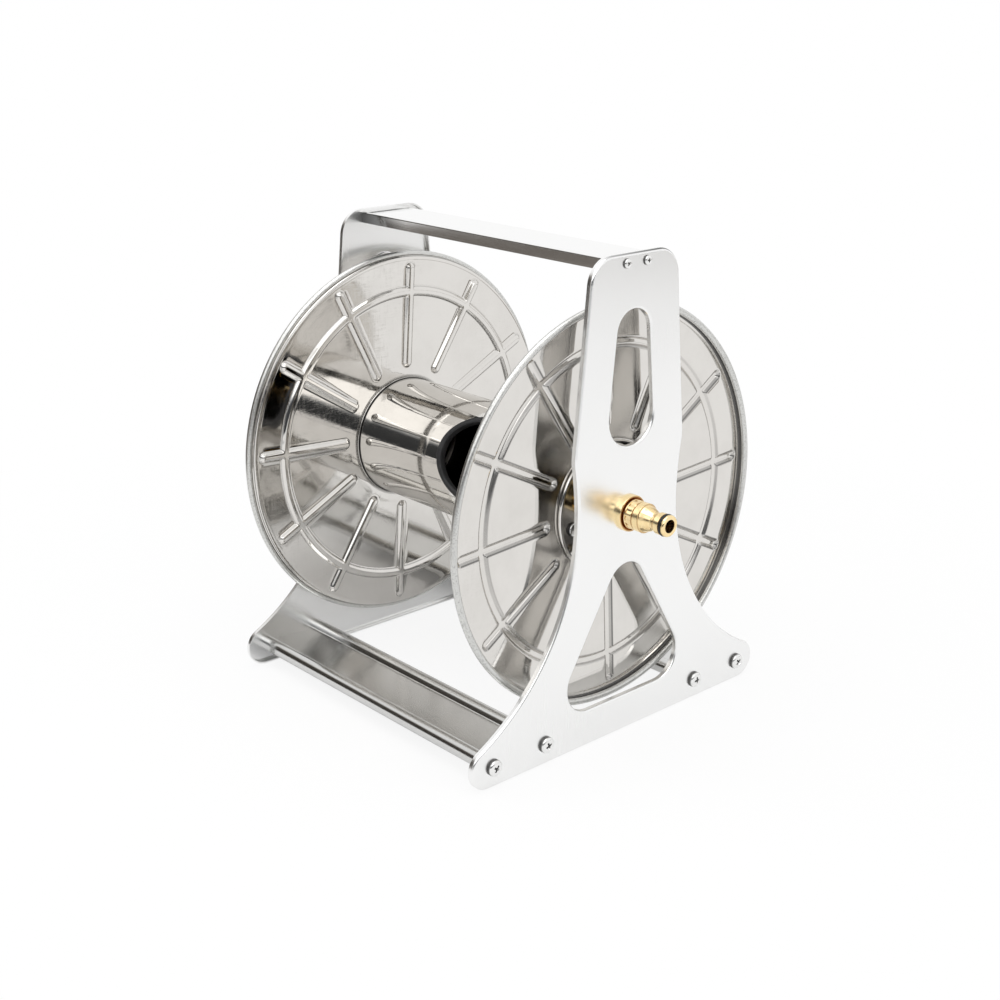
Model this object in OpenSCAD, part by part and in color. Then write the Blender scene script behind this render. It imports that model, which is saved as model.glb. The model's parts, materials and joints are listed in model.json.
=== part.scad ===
// Hose reel: two turned-edge side plates joined by curled base rails and a carry bar, carrying a
// sheet-metal drum on a brass water swivel at one side and a crank axle at the other.
// X runs along the drum axis towards the water inlet, Z is up, and the origin is on the floor
// midway between the side plates.

/* [Frame] */
// Width over the outer faces of the two side plates
frame_w = 280; // [264:1:340]
// Length of a side plate along the floor
base_l = 300; // [280:1:340]
// Height of the side plates
frame_h = 360; // [350:1:420]
// Height of the drum axis above the floor
axle_h = 173; // [165:1:188]
// Thickness of the side plate sheet
plate_t = 1.2; // [0.8:0.1:2]
// Depth of the edge that is turned inwards round the side plates and their cut-outs
plate_rim = 4.5; // [3:0.1:6]

/* [Side plate outline] */
// Width of the plate just under its top corners
top_w = 87; // [76:1:100]
// Radius of the two top corners
top_r = 20; // [10:1:26]
// Widest width of the shoulders
shoulder_w = 109.6; // [106:0.1:120]
// Height of the shoulders above the drum axis
shoulder_rise = 49; // [40:1:70]
// Radius that rounds a shoulder
shoulder_r = 30; // [20:1:36]
// Narrowest width, level with the waist
waist_w = 102; // [92:1:104]
// Height of the waist above the drum axis
waist_rise = 5; // [-10:1:20]
// Radius of the rounded feet
foot_r = 15.5; // [13:0.5:20]

/* [Side plate cut-outs] */
// Drop from the plate's top to the top of the upper slot
slot_drop = 39; // [30:1:60]
// Height of the slot's lower end above the drum axis
slot_rise = 50; // [40:1:70]
// Radius of the slot's upper end
slot_top_r = 16.5; // [8:0.5:20]
// Radius of the slot's lower end
slot_low_r = 22.4; // [14:0.1:26]
// Height of the lower edge of the window above the floor
window_base = 28; // [22:1:40]
// Drop from the drum axis to the top of the window
window_drop = 39; // [32:1:60]
// Radius of the window's top corner
window_top_r = 19; // [8:1:24]
// Radius of the window's two lower corners
window_low_r = 22; // [12:1:26]
// Distance from the middle to the centre of a lower window corner
window_reach = 36; // [24:1:44]

/* [Base rails] */
// Distance from the end of a side plate to the outer screw of each rail
rail_end = 20; // [18:1:28]
// Distance between the two screws of one rail
rail_pitch = 50; // [40:1:52]
// Outside diameter of the curled edges of a rail
curl_d = 12; // [10:0.5:14]
// Thickness of the rail sheet
rail_t = 1.2; // [0.8:0.1:1.6]
// Depth of the tray between the curled edges
tray_depth = 5; // [2:0.1:6]

/* [Carry bar] */
// Width of the carry bar
bar_w = 43; // [36:1:50]
// Depth of the bar's two skirts
bar_skirt = 8.6; // [6:0.1:11]
// Thickness of the bar's sheet
bar_t = 1.2; // [0.8:0.1:2]
// Gap between the bar's top and the top of the plates
bar_drop = 2.8; // [2:0.1:6]
// Distance between the two screws at each end of the bar
bar_pitch = 20; // [14:1:24]
// Drop from the top of the bar to the middle of its screws
bar_screw_drop = 3.8; // [3.4:0.1:4.6]

/* [Drum] */
// Outside diameter of the flanges over their rolled rims
flange_d = 306; // [250:2:324]
// Width of the winding space between the flange sheets
winding_w = 233; // [200:1:236]
// Outside diameter of the drum tube
drum_d = 97; // [90:1:110]
// Thickness of the flange and drum sheets
drum_t = 0.8; // [0.5:0.1:1.2]
// Diameter of the rolled rim bead
bead_d = 5; // [4:0.2:7]
// Distance from the flange sheet out to the centre of the rim bead
bead_rise = 5.5; // [4:0.1:7]
// Number of pressed ribs on a flange
rib_n = 12; // [6:1:16]
// Width of a pressed rib
rib_w = 9; // [6:0.5:11]
// Height of the pressed ribs
rib_h = 2.5; // [1.5:0.1:4]
// Gap from the drum tube to the inner end of a rib
rib_gap_in = 8.5; // [4:0.5:20]
// Gap from the flange's outside diameter to the outer end of a rib
rib_gap_out = 9.5; // [8:0.5:20]
// Gap from the flange's outside diameter to the middle of the pressed ring
ring_gap = 33; // [20:1:50]
// Width of the pressed ring
ring_w = 8; // [5:0.5:10]
// Angle of the ribs on the inlet flange
rib_turn_inlet = 3.3; // [-15:0.1:15]
// Angle of the ribs on the crank flange
rib_turn_crank = -3.7; // [-15:0.1:15]
// Diameter of the rolled lip at the ends of the drum tube
lip_d = 4.4; // [3:0.2:6]

/* [Hose grommet] */
// Bore of the rubber grommet
grommet_bore = 56; // [40:1:58]
// Width of the grommet's lips beyond the hole in the drum
grommet_lip = 3; // [2:0.5:4]
// Wall between the grommet's bore and the hole in the drum
grommet_wall = 3; // [2:0.5:4]
// Thickness of the grommet's lips
grommet_t = 3; // [2:0.5:4]
// Distance of the grommet from the middle of the drum, towards the inlet
grommet_x = 15; // [-20:1:40]
// Direction of the grommet and the hose tail round the drum axis
grommet_turn = 154; // [100:1:180]

/* [Drum ends] */
// Thickness of the drum end discs
end_t = 1.5; // [1:0.1:3]
// Depth of the rim turned on a drum end disc
end_rim = 10; // [6:1:14]
// Depth of the drum end discs below the flange sheet
end_inset = 2.5; // [1:0.1:6]
// Radius of the circle of hub screws
hub_screw_r = 33.5; // [24:0.5:36]
// Number of hub screws at each end
hub_screw_n = 4; // [3:1:6]
// Angle of the first hub screw
hub_screw_turn = 21.7; // [0:0.1:90]
// Radius of the screwed carrier plates behind the end discs
carrier_r = 40; // [40:0.5:44]
// Thickness of the carrier plates
carrier_t = 3; // [2:0.1:5]

/* [Water inlet] */
// Bore of the water way
water_bore = 9.5; // [8:0.5:10]
// Diameter of the swivel stem
stem_d = 16; // [15:0.1:17]
// Diameter of the stem's shoulder inside the plate
stem_collar_d = 26; // [22:0.5:30]
// Thickness of the stem's shoulder
stem_collar_t = 5; // [3:0.5:6]
// Length of the stem's thread inside the nipple
stem_thread_l = 5; // [3:0.5:6]
// Outside diameter of the brass washer
washer_d = 27; // [24:0.5:30]
// Thickness of the brass washer
washer_t = 3.5; // [1:0.1:5]
// Outside diameter of the round clamping nut
nut_d = 22; // [21:0.2:26]
// Length of the clamping nut
nut_l = 8; // [6:0.5:12]
// Length of the plug nipple
nipple_l = 27.5; // [26:0.5:36]
// Diameter of the nipple's shoulder
nipple_root_d = 22; // [21:0.5:25]
// Diameter of the nipple's neck
neck_d = 13; // [12:0.2:14]
// Diameter of the nipple's plug end
plug_d = 16; // [15.6:0.1:17]
// Length of the nipple's plug end, over its seal groove
plug_l = 9.5; // [8.5:0.5:14]
// Length of the plug end behind its seal groove
land_l = 4.5; // [2:0.5:5]
// Section diameter of the nipple's seal ring
seal_d = 2.4; // [1.8:0.1:2.6]

/* [Water swivel] */
// Outside diameter of the swivel housing
housing_d = 24; // [22:0.5:28]
// Length of the housing's bearing on the stem
housing_l = 28; // [24:1:34]
// Length of the housing outside its carrier plate
housing_out = 9; // [6:0.5:10]
// Length of the chamber behind the stem's end
chamber_l = 16; // [12:1:20]
// Outside diameter of the chamber
chamber_d = 28; // [26:0.5:32]
// Outside diameter of the feed pipe
pipe_d = 15; // [14:0.5:18]
// Outside diameter of the elbow
elbow_d = 21; // [19:0.5:24]
// Outside diameter of the hose tail
tail_d = 13; // [12:0.5:15]
// Distance from the drum axis to the tip of the hose tail
tail_reach = 31; // [28:1:34]

/* [Crank] */
// Diameter of the crank axle in its bush
axle_d = 16; // [16:0.5:18]
// Diameter of the axle between the drum and the bush
axle_body_d = 22; // [20:0.5:26]
// Outside diameter of the bush sleeve
bush_d = 22; // [20:0.5:26]
// Diameter of the flanges that hold the bush in the plate
bush_flange_d = 32; // [28:0.5:38]
// Thickness of the bush flange inside the plate
bush_flange_t = 3.5; // [2:0.1:5]
// Thickness of the nut that holds the bush
bush_nut_t = 5; // [4:0.5:7]
// Gap between the bush and the crank arm
arm_gap = 3; // [2:0.5:8]
// Distance from the axle to the crank grip
crank_r = 90; // [60:1:130]
// Width of the crank arm's end at the axle
arm_w = 26; // [22:0.5:30]
// Width of the crank arm's straight part
arm_neck_w = 21; // [18:0.5:22]
// Width of the crank arm's end at the grip
arm_tip_w = 22; // [20:0.5:28]
// Thickness of the crank arm
arm_t = 4; // [3:0.1:6]
// Side of the square that drives the arm
square_w = 11; // [9:0.1:11.2]
// Length of the crank grip
grip_l = 84; // [60:1:110]
// Largest diameter of the crank grip
grip_d = 29; // [24:0.5:36]
// Diameter of the pin that the grip turns on
pin_d = 8; // [6:0.2:10]

/* [Screws] */
// Head diameter of the rail screws
rail_screw_head = 12.2; // [9:0.1:13]
// Shank diameter of the rail screws
rail_screw_d = 5; // [4:0.1:6]
// Head diameter of the carry bar screws
bar_screw_head = 6.8; // [6:0.1:9]
// Shank diameter of the carry bar screws
bar_screw_d = 3.2; // [2.5:0.1:4]
// Head diameter of the hub screws
hub_screw_head = 10; // [8:0.1:12]
// Shank diameter of the hub screws
hub_screw_d = 4; // [3:0.1:5]

/* [Clearances] */
// Radial clearance of the turning fits
running = 0.05; // [0.03:0.01:0.1]
// Gap at the faces that turn past each other
side_gap = 0.8; // [0.4:0.1:2]

/* [Hidden] */
$fn = 64;

cut = 1;                                    // overshoot of every cutting shape
arc_step = 4;                               // largest turn between two points of an outline
sheet_x = frame_w / 2 - plate_t;            // inner face of a side plate's sheet
half_base = base_l / 2;
steel = "lightgray";
polished = "silver";
brass = "goldenrod";
black = [0.08, 0.08, 0.08];

// Side plate outline, each value measured on the half at +Y
top_c = [top_w / 2 - top_r, frame_h - top_r];
shoulder_c = [shoulder_w / 2 - shoulder_r, axle_h + shoulder_rise];
waist_z = axle_h + waist_rise;
waist_y = waist_w / 2;
foot_c = [half_base - foot_r, foot_r];
taper_turn = tangent_turn(shoulder_c, shoulder_r, top_c, top_r);
hip_r = touching_r(shoulder_c, shoulder_r);
flare_r = touching_r(foot_c, foot_r);
hip_turn = atan2(shoulder_c.y - waist_z, waist_y + hip_r - shoulder_c.x);
flare_turn = atan2(waist_z - foot_c.y, waist_y + flare_r - foot_c.x);

// Base rails
rail_in = half_base - rail_end - rail_pitch;  // inner screw of each rail
rail_y = rail_in + rail_pitch / 2;
rail_z = foot_r;
curl_r = curl_d / 2;
tray_z = rail_z + curl_r - tray_depth;
plug_len = 14;                              // threaded plug in the end of a curled edge
plug_spare = 2;                             // thread of the plug beyond the screw's tip

// Carry bar
bar_z = frame_h - bar_drop;
bar_screw_z = bar_z - bar_screw_drop;
bar_tab_step = 4;                           // distance of an end tab's edges from the skirts
bar_tab_w = bar_w - 2 * bar_tab_step;
skirt_z = bar_z - bar_skirt;
thread_out = 3;                             // screw thread that stands out behind its last sheet

// Drum
flange_x = winding_w / 2;                   // hose side of a flange sheet
drum_r = drum_d / 2;
tube_in_r = drum_r - drum_t;
lip_r = lip_d / 2;
stop_h = 1.6;                               // stop bead of the tube under a flange
stop_rise = 1;
ring_r = flange_d / 2 - ring_gap;
bead_r = bead_d / 2;
wall_r = flange_d / 2 - bead_d;             // inner face of the flange's turned-up wall
end_x = flange_x - end_inset;               // outer face of a drum end disc
carrier_x = end_x - end_t;                  // outer face of a carrier plate
hole_r = grommet_bore / 2 + grommet_wall;

// Water inlet and swivel
bore_r = water_bore / 2;
stem_r = stem_d / 2;
face_x = frame_w / 2;
nut_x = face_x + washer_t;
nipple_x = nut_x + nut_l;
stem_tip_x = nipple_x + stem_thread_l;
flute_n = 12;                               // flutes in the rim of the clamping nut
flute_r = 2;
flute_depth = 0.8;
flute_z = 2.2;                              // plain band at the foot of the nut
plug_x = nipple_x + nipple_l - plug_l;      // start of the plug end
root_band = 5.5;                            // length of the nipple's shoulder
root_step = 1.2;                            // step from the shoulder down to the cone
neck_l = 3;
edge_cut = 0.8;                             // bevel of the nipple's outer edges
bore_cut = 0.6;                             // bevel at the mouth of the water way
groove_spare = 0.6;
groove_w = seal_d + groove_spare;
seal_sink = 0.1;                            // depth of the seal ring below the plug's surface
seal_x = plug_x + land_l + groove_w / 2;
seal_mid_r = plug_d / 2 - seal_sink - seal_d / 2;
housing_x = carrier_x + housing_out;        // outer end of the housing
step_x = housing_x - housing_l;             // step between bearing bore and chamber
chamber_x = step_x - chamber_l;             // inner end of the housing
stem_tail = 4;                              // stem inside the chamber
stem_in_x = step_x - stem_tail;
thrust_rise = 2.5;                          // step of the stem's thrust shoulder
circlip_t = 1.2;
circlip_sink = 1;                           // depth of the circlip's groove
circlip_rise = 1.8;
circlip_split = 3;
circlip_x = step_x - side_gap - circlip_t;
thrust_x = housing_x + side_gap;            // face of the stem's thrust shoulder
pipe_r = pipe_d / 2;
elbow_r = elbow_d / 2;
tail_r = tail_d / 2;
pipe_socket = 3.5;                          // depth of the sockets for pipe and tail
pipe_x = grommet_x + elbow_r - pipe_socket; // inner end of the feed pipe
pipe_end_x = chamber_x + pipe_socket;
chamber_gap = 3;                            // room round the stem in the chamber
chamber_wall = 1.5;                         // step wall between chamber and bearing
branch_out = 1;                             // each branch of the elbow beyond the other's side
branch_l = elbow_r + branch_out;
elbow_step = 1;                             // the hose branch is this much thinner all round
bore_step = 0.25;
tail_root = branch_l - pipe_socket;
tail_barb = 4.5;                            // spacing of the grooves on the hose tail
barb_w = 1.5;
barb_depth = 0.5;
swivel_seal_d = 1.6;
swivel_seal_x = [for (share = [0.3, 0.72]) step_x + share * housing_l];

// Crank
bush_in_x = sheet_x - bush_flange_t;        // inner face of the bush
spare_thread = 2;                           // thread beyond the nuts of bush and axle
bush_out_x = face_x + bush_nut_t + spare_thread;
bush_nut_w = bush_flange_d - 4;             // across the flats
arm_x = bush_out_x + arm_gap;
arm_out_x = arm_x + arm_t;
axle_washer_t = 1.5;
axle_nut_t = 6.5;
axle_thread_d = 8;
journal_x = bush_in_x - side_gap;           // shoulder between axle body and journal
axle_washer_d = 19;
nut_flats = 13;                             // across flats of the axle's and the pin's nuts
grip_gap = 1.5;
grip_x = arm_out_x + grip_gap;
grip_end_x = grip_x + grip_l;
grip_r = grip_d / 2;
grip_round = 4;                             // radius of the grip's end edges
grip_waist = 2.4;                           // depth of the grip's waist
waist_n = 12;
pin_head_t = 4;
pin_head_rise = 5;                          // head diameter over the pin's
pin_nut_t = 6;
pin_spare = 1;                              // thread of the pin beyond its nut
pin_x = arm_x - pin_nut_t - pin_spare;      // threaded end of the pin
pin_head_sink = 2;                          // depth of the pin's head below the grip's end
pin_head_x = grip_end_x - pin_head_t - pin_head_sink;

// ---- Outline helpers ----

// Points of an arc from angle a0 to angle a1 round centre c
function arc(c, r, a0, a1) = let (n = ceil(abs(a1 - a0) / arc_step))
    [for (k = [0:n]) c + r * [cos(a0 + (a1 - a0) * k / n), sin(a0 + (a1 - a0) * k / n)]];

// Direction of the outer tangent's normal on the +Y side of a low and a high circle
function tangent_turn(low_c, low_r, high_c, high_r) = let (d = high_c - low_c)
    atan2(d.y, d.x) - acos((low_r - high_r) / norm(d));

// Radius of the hollow arc that leaves the waist upright and touches a circle of the outline
function touching_r(c, r) = let (a = c.x - waist_y, b = c.y - waist_z)
    (a * a + b * b - r * r) / (2 * (a + r));

// A list of points on the +Y side, closed by its mirror image
function both_sides(half) = concat(half,
    [for (k = [len(half) - 1:-1:0]) if (half[k].x > 0) [-half[k].x, half[k].y]]);

// Outline of a side plate, moved inwards by inset
function plate_points(inset) = both_sides(concat(
    arc(top_c, top_r - inset, 90, taper_turn),
    arc(shoulder_c, shoulder_r - inset, taper_turn, -hip_turn),
    arc([waist_y + hip_r, waist_z], hip_r + inset, 180 - hip_turn, 180),
    arc([waist_y + flare_r, waist_z], flare_r + inset, 180, 180 + flare_turn),
    arc(foot_c, foot_r - inset, flare_turn, -90)));

// Upper slot: an arc at each end, joined by straight sides, grown by grow
function slot_points(grow) = let (
    low_c = [0, axle_h + slot_rise + slot_low_r],
    high_c = [0, frame_h - slot_drop - slot_top_r],
    turn = tangent_turn(low_c, slot_low_r, high_c, slot_top_r))
    both_sides(concat(
        arc(high_c, slot_top_r + grow, 90, turn),
        arc(low_c, slot_low_r + grow, turn, -90)));

// Lower window: three rounded corners, grown by grow
function window_points(grow) = let (
    low_c = [window_reach, window_base + window_low_r],
    high_c = [0, axle_h - window_drop - window_top_r],
    turn = tangent_turn(low_c, window_low_r, high_c, window_top_r))
    both_sides(concat(
        arc(high_c, window_top_r + grow, 90, turn),
        arc(low_c, window_low_r + grow, turn, -90)));

// ---- Placing helpers ----

// A drawing of (Y, Z) points stands upright at distance x along the axis and is extruded along +X
module upright(x) translate([x, 0, 0]) rotate([90, 0, 90]) children();

// A shape's own Z axis lies along the drum axis, and its angles run from +Y towards +Z
module on_axis(x) translate([x, 0, axle_h]) rotate([90, 0, 90]) children();

// The same from the crank side: the shape's own Z axis points to -X, its angles run as before
module on_crank_axis(x) mirror([1, 0, 0]) on_axis(x) children();

// A shape's own Z axis points from the drum axis at the middle of the hose grommet
module towards_grommet() translate([grommet_x, 0, axle_h]) rotate([grommet_turn - 90, 0, 0])
    children();

// The places of the hub screws
module hub_screw_places() for (k = [0:hub_screw_n - 1])
    rotate(hub_screw_turn + k * 360 / hub_screw_n) translate([hub_screw_r, 0, 0]) children();

// The places of the rail screws on a drawing of a side plate
module rail_screw_places() for (side = [-1, 1], reach = [rail_in, rail_in + rail_pitch])
    translate([side * reach, rail_z]) children();

// The places of the carry bar's screws on a drawing of a side plate
module bar_screw_places() for (side = [-1, 1])
    translate([side * bar_pitch / 2, bar_screw_z]) children();

// A round tube or ring
module ring(r_out, r_in, h) difference() {
    cylinder(r = r_out, h = h);
    translate([0, 0, -cut]) cylinder(r = r_in, h = h + 2 * cut);
}

// A hexagon across flats w, with a bore
module hex_nut(w, bore_d, h) difference() {
    cylinder(r = w / 2 / cos(30), h = h, $fn = 6);
    translate([0, 0, -cut]) cylinder(d = bore_d, h = h + 2 * cut);
}

// Cross-recessed screw: domed head from Z = 0 upwards, shank below
module pan_screw(head_d, shank_d, shank_l) {
    head_h = head_d * 0.3;
    dome_r = (head_d * head_d / 4 + head_h * head_h) / (2 * head_h);
    recess_w = head_d / 8;
    difference() {
        union() {
            intersection() {
                cylinder(d = head_d, h = head_h);
                translate([0, 0, 1.25 * head_h - dome_r]) sphere(r = dome_r);
            }
            translate([0, 0, -shank_l]) cylinder(d = shank_d, h = shank_l + head_h / 2);
        }
        for (a = [0, 90]) rotate(a) translate([-head_d / 4, -recess_w / 2, head_h / 2])
            cube([head_d / 2, recess_w, head_h]);
    }
}

// ---- Frame ----

// Side plate on the inlet side, with a hole of radius axle_hole_r for what passes through it
module side_plate(axle_hole_r) {
    upright(sheet_x) linear_extrude(plate_t) difference() {
        polygon(plate_points(0));
        polygon(slot_points(0));
        polygon(window_points(0));
        translate([0, axle_h]) circle(r = axle_hole_r);
        rail_screw_places() circle(d = rail_screw_d);
        bar_screw_places() circle(d = bar_screw_d);
    }
    upright(face_x - plate_rim) linear_extrude(plate_rim - plate_t / 2) {
        difference() {
            polygon(plate_points(0));
            polygon(plate_points(plate_t));
        }
        difference() {
            polygon(slot_points(plate_t));
            polygon(slot_points(0));
        }
        difference() {
            polygon(window_points(plate_t));
            polygon(window_points(0));
        }
    }
}

module side_plate_inlet() color(steel) side_plate(stem_r + running);

module side_plate_crank() color(steel) mirror([1, 0, 0]) side_plate(bush_d / 2);

// Tray with a tube curled along each long edge, centred on its own Y = 0
module rail_section() difference() {
    union() {
        for (s = [-1, 1]) translate([s * rail_pitch / 2, rail_z]) circle(r = curl_r);
        translate([-rail_pitch / 2, tray_z - rail_t]) square([rail_pitch, rail_t]);
    }
    for (s = [-1, 1]) translate([s * rail_pitch / 2, rail_z]) circle(r = curl_r - rail_t);
}

module base_rail(side) color(steel) translate([0, side * rail_y, 0])
    upright(-sheet_x) linear_extrude(2 * sheet_x) rail_section();

module base_rail_near() base_rail(-1);
module base_rail_far() base_rail(1);

// Inverted channel with a drilled tab turned down at each end
module carry_bar() color(steel) {
    difference() {
        translate([-sheet_x, -bar_w / 2, skirt_z]) cube([2 * sheet_x, bar_w, bar_skirt]);
        translate([-sheet_x - cut, -bar_w / 2 + bar_t, skirt_z - cut])
            cube([2 * (sheet_x + cut), bar_w - 2 * bar_t, bar_skirt + cut - bar_t]);
    }
    for (end = [0, 1]) mirror([end, 0, 0]) upright(sheet_x - bar_t) linear_extrude(bar_t)
        difference() {
            translate([-bar_tab_w / 2, skirt_z]) square([bar_tab_w, bar_skirt - bar_t / 2]);
            bar_screw_places() circle(d = bar_screw_d);
        }
}

// Threaded plugs pressed into the ends of the curled edges
module rail_plugs() color(steel) for (end = [0, 1]) mirror([end, 0, 0])
    upright(sheet_x - plug_len) rail_screw_places()
        ring(curl_r - rail_t, rail_screw_d / 2, plug_len);

module rail_screws() color(polished) upright(face_x) rail_screw_places()
    pan_screw(rail_screw_head, rail_screw_d, plug_len - plug_spare);

module rail_screws_inlet() rail_screws();
module rail_screws_crank() mirror([1, 0, 0]) rail_screws();

module bar_screws() color(polished) upright(face_x) bar_screw_places()
    pan_screw(bar_screw_head, bar_screw_d, plate_t + bar_t + thread_out);

module bar_screws_inlet() bar_screws();
module bar_screws_crank() mirror([1, 0, 0]) bar_screws();

// ---- Fixed brass inlet ----

// Hollow stem: journal for the swivel, thrust shoulder, collar inside the plate, outer thread
module swivel_stem() color(brass) difference() {
    union() {
        on_axis(stem_in_x) cylinder(r = stem_r, h = stem_tip_x - stem_in_x);
        on_axis(thrust_x) cylinder(r = stem_r + thrust_rise, h = sheet_x - thrust_x);
        on_axis(sheet_x - stem_collar_t) cylinder(d = stem_collar_d, h = stem_collar_t);
    }
    on_axis(stem_in_x - cut) cylinder(r = bore_r, h = stem_tip_x - stem_in_x + 2 * cut);
    for (x = swivel_seal_x) on_axis(x) ring(stem_r + cut, stem_r - swivel_seal_d, swivel_seal_d);
    on_axis(circlip_x) ring(stem_r + cut, stem_r - circlip_sink, circlip_t);
}

module inlet_washer() color(brass) on_axis(face_x) ring(washer_d / 2, stem_r, washer_t);

// Round nut with flutes cut in its rim
module inlet_nut() color(brass) on_axis(nut_x) difference() {
    ring(nut_d / 2, stem_r, nut_l);
    for (k = [0:flute_n - 1]) rotate(k * 360 / flute_n)
        translate([nut_d / 2 + flute_r - flute_depth, 0, flute_z])
            cylinder(r = flute_r, h = nut_l, $fn = 24);
}

// Plug nipple: shoulder, cone, neck and grooved plug end, turned round its water way
module inlet_nipple() color(brass) {
    plug_r = plug_d / 2;
    neck_r = neck_d / 2;
    root_r = nipple_root_d / 2;
    plug_at = nipple_l - plug_l;
    neck_at = plug_at - neck_l;
    groove_at = plug_at + land_l;
    groove_r = seal_mid_r - seal_d / 2;
    on_axis(nipple_x) rotate_extrude() polygon([
        [stem_r, 0], [root_r - edge_cut, 0], [root_r, edge_cut], [root_r, root_band],
        [root_r - root_step, root_band + root_step / 2],
        [neck_r, neck_at], [neck_r, plug_at], [plug_r, plug_at],
        [plug_r, groove_at], [groove_r, groove_at],
        [groove_r, groove_at + groove_w], [plug_r, groove_at + groove_w],
        [plug_r, nipple_l - edge_cut], [plug_r - edge_cut, nipple_l],
        [bore_r + bore_cut, nipple_l], [bore_r, nipple_l - bore_cut],
        [bore_r, stem_thread_l], [stem_r, stem_thread_l]]);
}

module nipple_seal() color(black) on_axis(seal_x) rotate_extrude()
    translate([seal_mid_r, 0]) circle(d = seal_d, $fn = 24);

module swivel_seals() color(black) for (x = swivel_seal_x)
    on_axis(x + swivel_seal_d / 2) rotate_extrude()
        translate([stem_r - swivel_seal_d / 2, 0]) circle(d = swivel_seal_d, $fn = 24);

// Split retaining ring in the stem's groove
module swivel_circlip() color(polished) on_axis(circlip_x) difference() {
    ring(stem_r + circlip_rise, stem_r - circlip_sink, circlip_t);
    translate([0, -circlip_split / 2, -cut])
        cube([2 * stem_r, circlip_split, circlip_t + 2 * cut]);
}

// ---- Bush in the crank side plate ----

module crank_bush() color(black) on_crank_axis(bush_in_x) difference() {
    union() {
        cylinder(d = bush_flange_d, h = bush_flange_t);
        cylinder(d = bush_d, h = bush_out_x - bush_in_x);
    }
    translate([0, 0, -cut])
        cylinder(r = axle_d / 2 + running, h = bush_out_x - bush_in_x + 2 * cut);
}

module bush_nut() color(black) on_crank_axis(face_x)
    hex_nut(bush_nut_w, bush_d, bush_nut_t);

// ---- Drum ----

// Straight tube with a rolled lip over each flange and a stop bead under it
module drum_tube() color(polished) difference() {
    union() {
        on_axis(-flange_x - drum_t) ring(drum_r, tube_in_r, 2 * (flange_x + drum_t));
        for (s = [0, 1]) mirror([s, 0, 0]) {
            on_axis(flange_x + drum_t) rotate_extrude() {
                translate([drum_r, lip_r]) circle(r = lip_r, $fn = 32);
                translate([tube_in_r, 0]) square([drum_t, lip_r]);
            }
            on_axis(flange_x - stop_h) ring(drum_r + stop_rise, drum_r - drum_t / 2, stop_h);
        }
    }
    towards_grommet() cylinder(r = hole_r, h = drum_d);
}

// Shell between two radii round the drum axis, cut by a ring that points at the grommet hole
module grommet_layer(shell_in, shell_out, reach) intersection() {
    on_axis(grommet_x - drum_r) ring(shell_out, shell_in, drum_d);
    towards_grommet() ring(reach, grommet_bore / 2, drum_d);
}

module hose_grommet() color(black) {
    grommet_layer(drum_r, drum_r + grommet_t, hole_r + grommet_lip);
    grommet_layer(tube_in_r - grommet_t, drum_r + grommet_t, hole_r);
    grommet_layer(tube_in_r - grommet_t, tube_in_r, hole_r + grommet_lip);
}

// Outline of the ribs and the ring, moved inwards by inset
module pressed_plan(inset) {
    rib_in = drum_r + rib_gap_in + rib_w / 2;
    rib_out = flange_d / 2 - rib_gap_out - rib_w / 2;
    half_w = rib_w / 2 - inset;
    for (k = [0:rib_n - 1]) rotate(k * 360 / rib_n) {
        translate([rib_in, -half_w]) square([rib_out - rib_in, 2 * half_w]);
        for (r = [rib_in, rib_out]) translate([r, 0]) circle(r = half_w, $fn = 32);
    }
    difference() {
        circle(r = ring_r + ring_w / 2 - inset);
        circle(r = ring_r - ring_w / 2 + inset);
    }
}

// Pressed disc, its outer face up: rim turned up into a bead, ribs and ring pressed down
module flange(turn) {
    difference() {
        union() {
            rotate_extrude() {
                translate([drum_r, 0]) square([wall_r + drum_t - drum_r, drum_t]);
                translate([wall_r, 0]) square([drum_t, bead_rise]);
                translate([wall_r + bead_r, bead_rise]) circle(r = bead_r, $fn = 32);
            }
            rotate(turn) translate([0, 0, -rib_h]) linear_extrude(rib_h + drum_t / 2)
                pressed_plan(0);
        }
        rotate(turn) translate([0, 0, drum_t - rib_h]) linear_extrude(rib_h + cut)
            pressed_plan(drum_t);
    }
}

module flange_inlet() color(polished) on_axis(flange_x) flange(rib_turn_inlet);
module flange_crank() color(polished) on_crank_axis(flange_x) flange(rib_turn_crank);

// Disc in the end of the drum tube, its outer face at the top
module drum_end(centre_r) difference() {
    union() {
        translate([0, 0, -end_t]) cylinder(r = tube_in_r, h = end_t);
        translate([0, 0, -end_rim]) ring(tube_in_r, tube_in_r - end_t, end_rim);
    }
    translate([0, 0, -end_rim]) cylinder(r = centre_r, h = end_rim + cut);
    hub_screw_places() translate([0, 0, -end_t - cut])
        cylinder(d = hub_screw_d, h = end_t + 2 * cut);
}

module drum_end_inlet() color(polished) on_axis(end_x) drum_end(housing_d / 2);
module drum_end_crank() color(polished) on_crank_axis(end_x) drum_end(axle_body_d / 2);

module hub_screws() color(polished) hub_screw_places()
    pan_screw(hub_screw_head, hub_screw_d, end_t + carrier_t + thread_out);

module hub_screws_inlet() on_axis(end_x) hub_screws();
module hub_screws_crank() on_crank_axis(end_x) hub_screws();

// Plate with tapped holes behind a drum end disc, its outer face at the top
module carrier(centre_r) difference() {
    translate([0, 0, -carrier_t]) ring(carrier_r, centre_r, carrier_t);
    hub_screw_places() translate([0, 0, -carrier_t - cut])
        cylinder(d = hub_screw_d, h = carrier_t + 2 * cut);
}

// ---- Water way that turns with the drum ----

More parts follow.
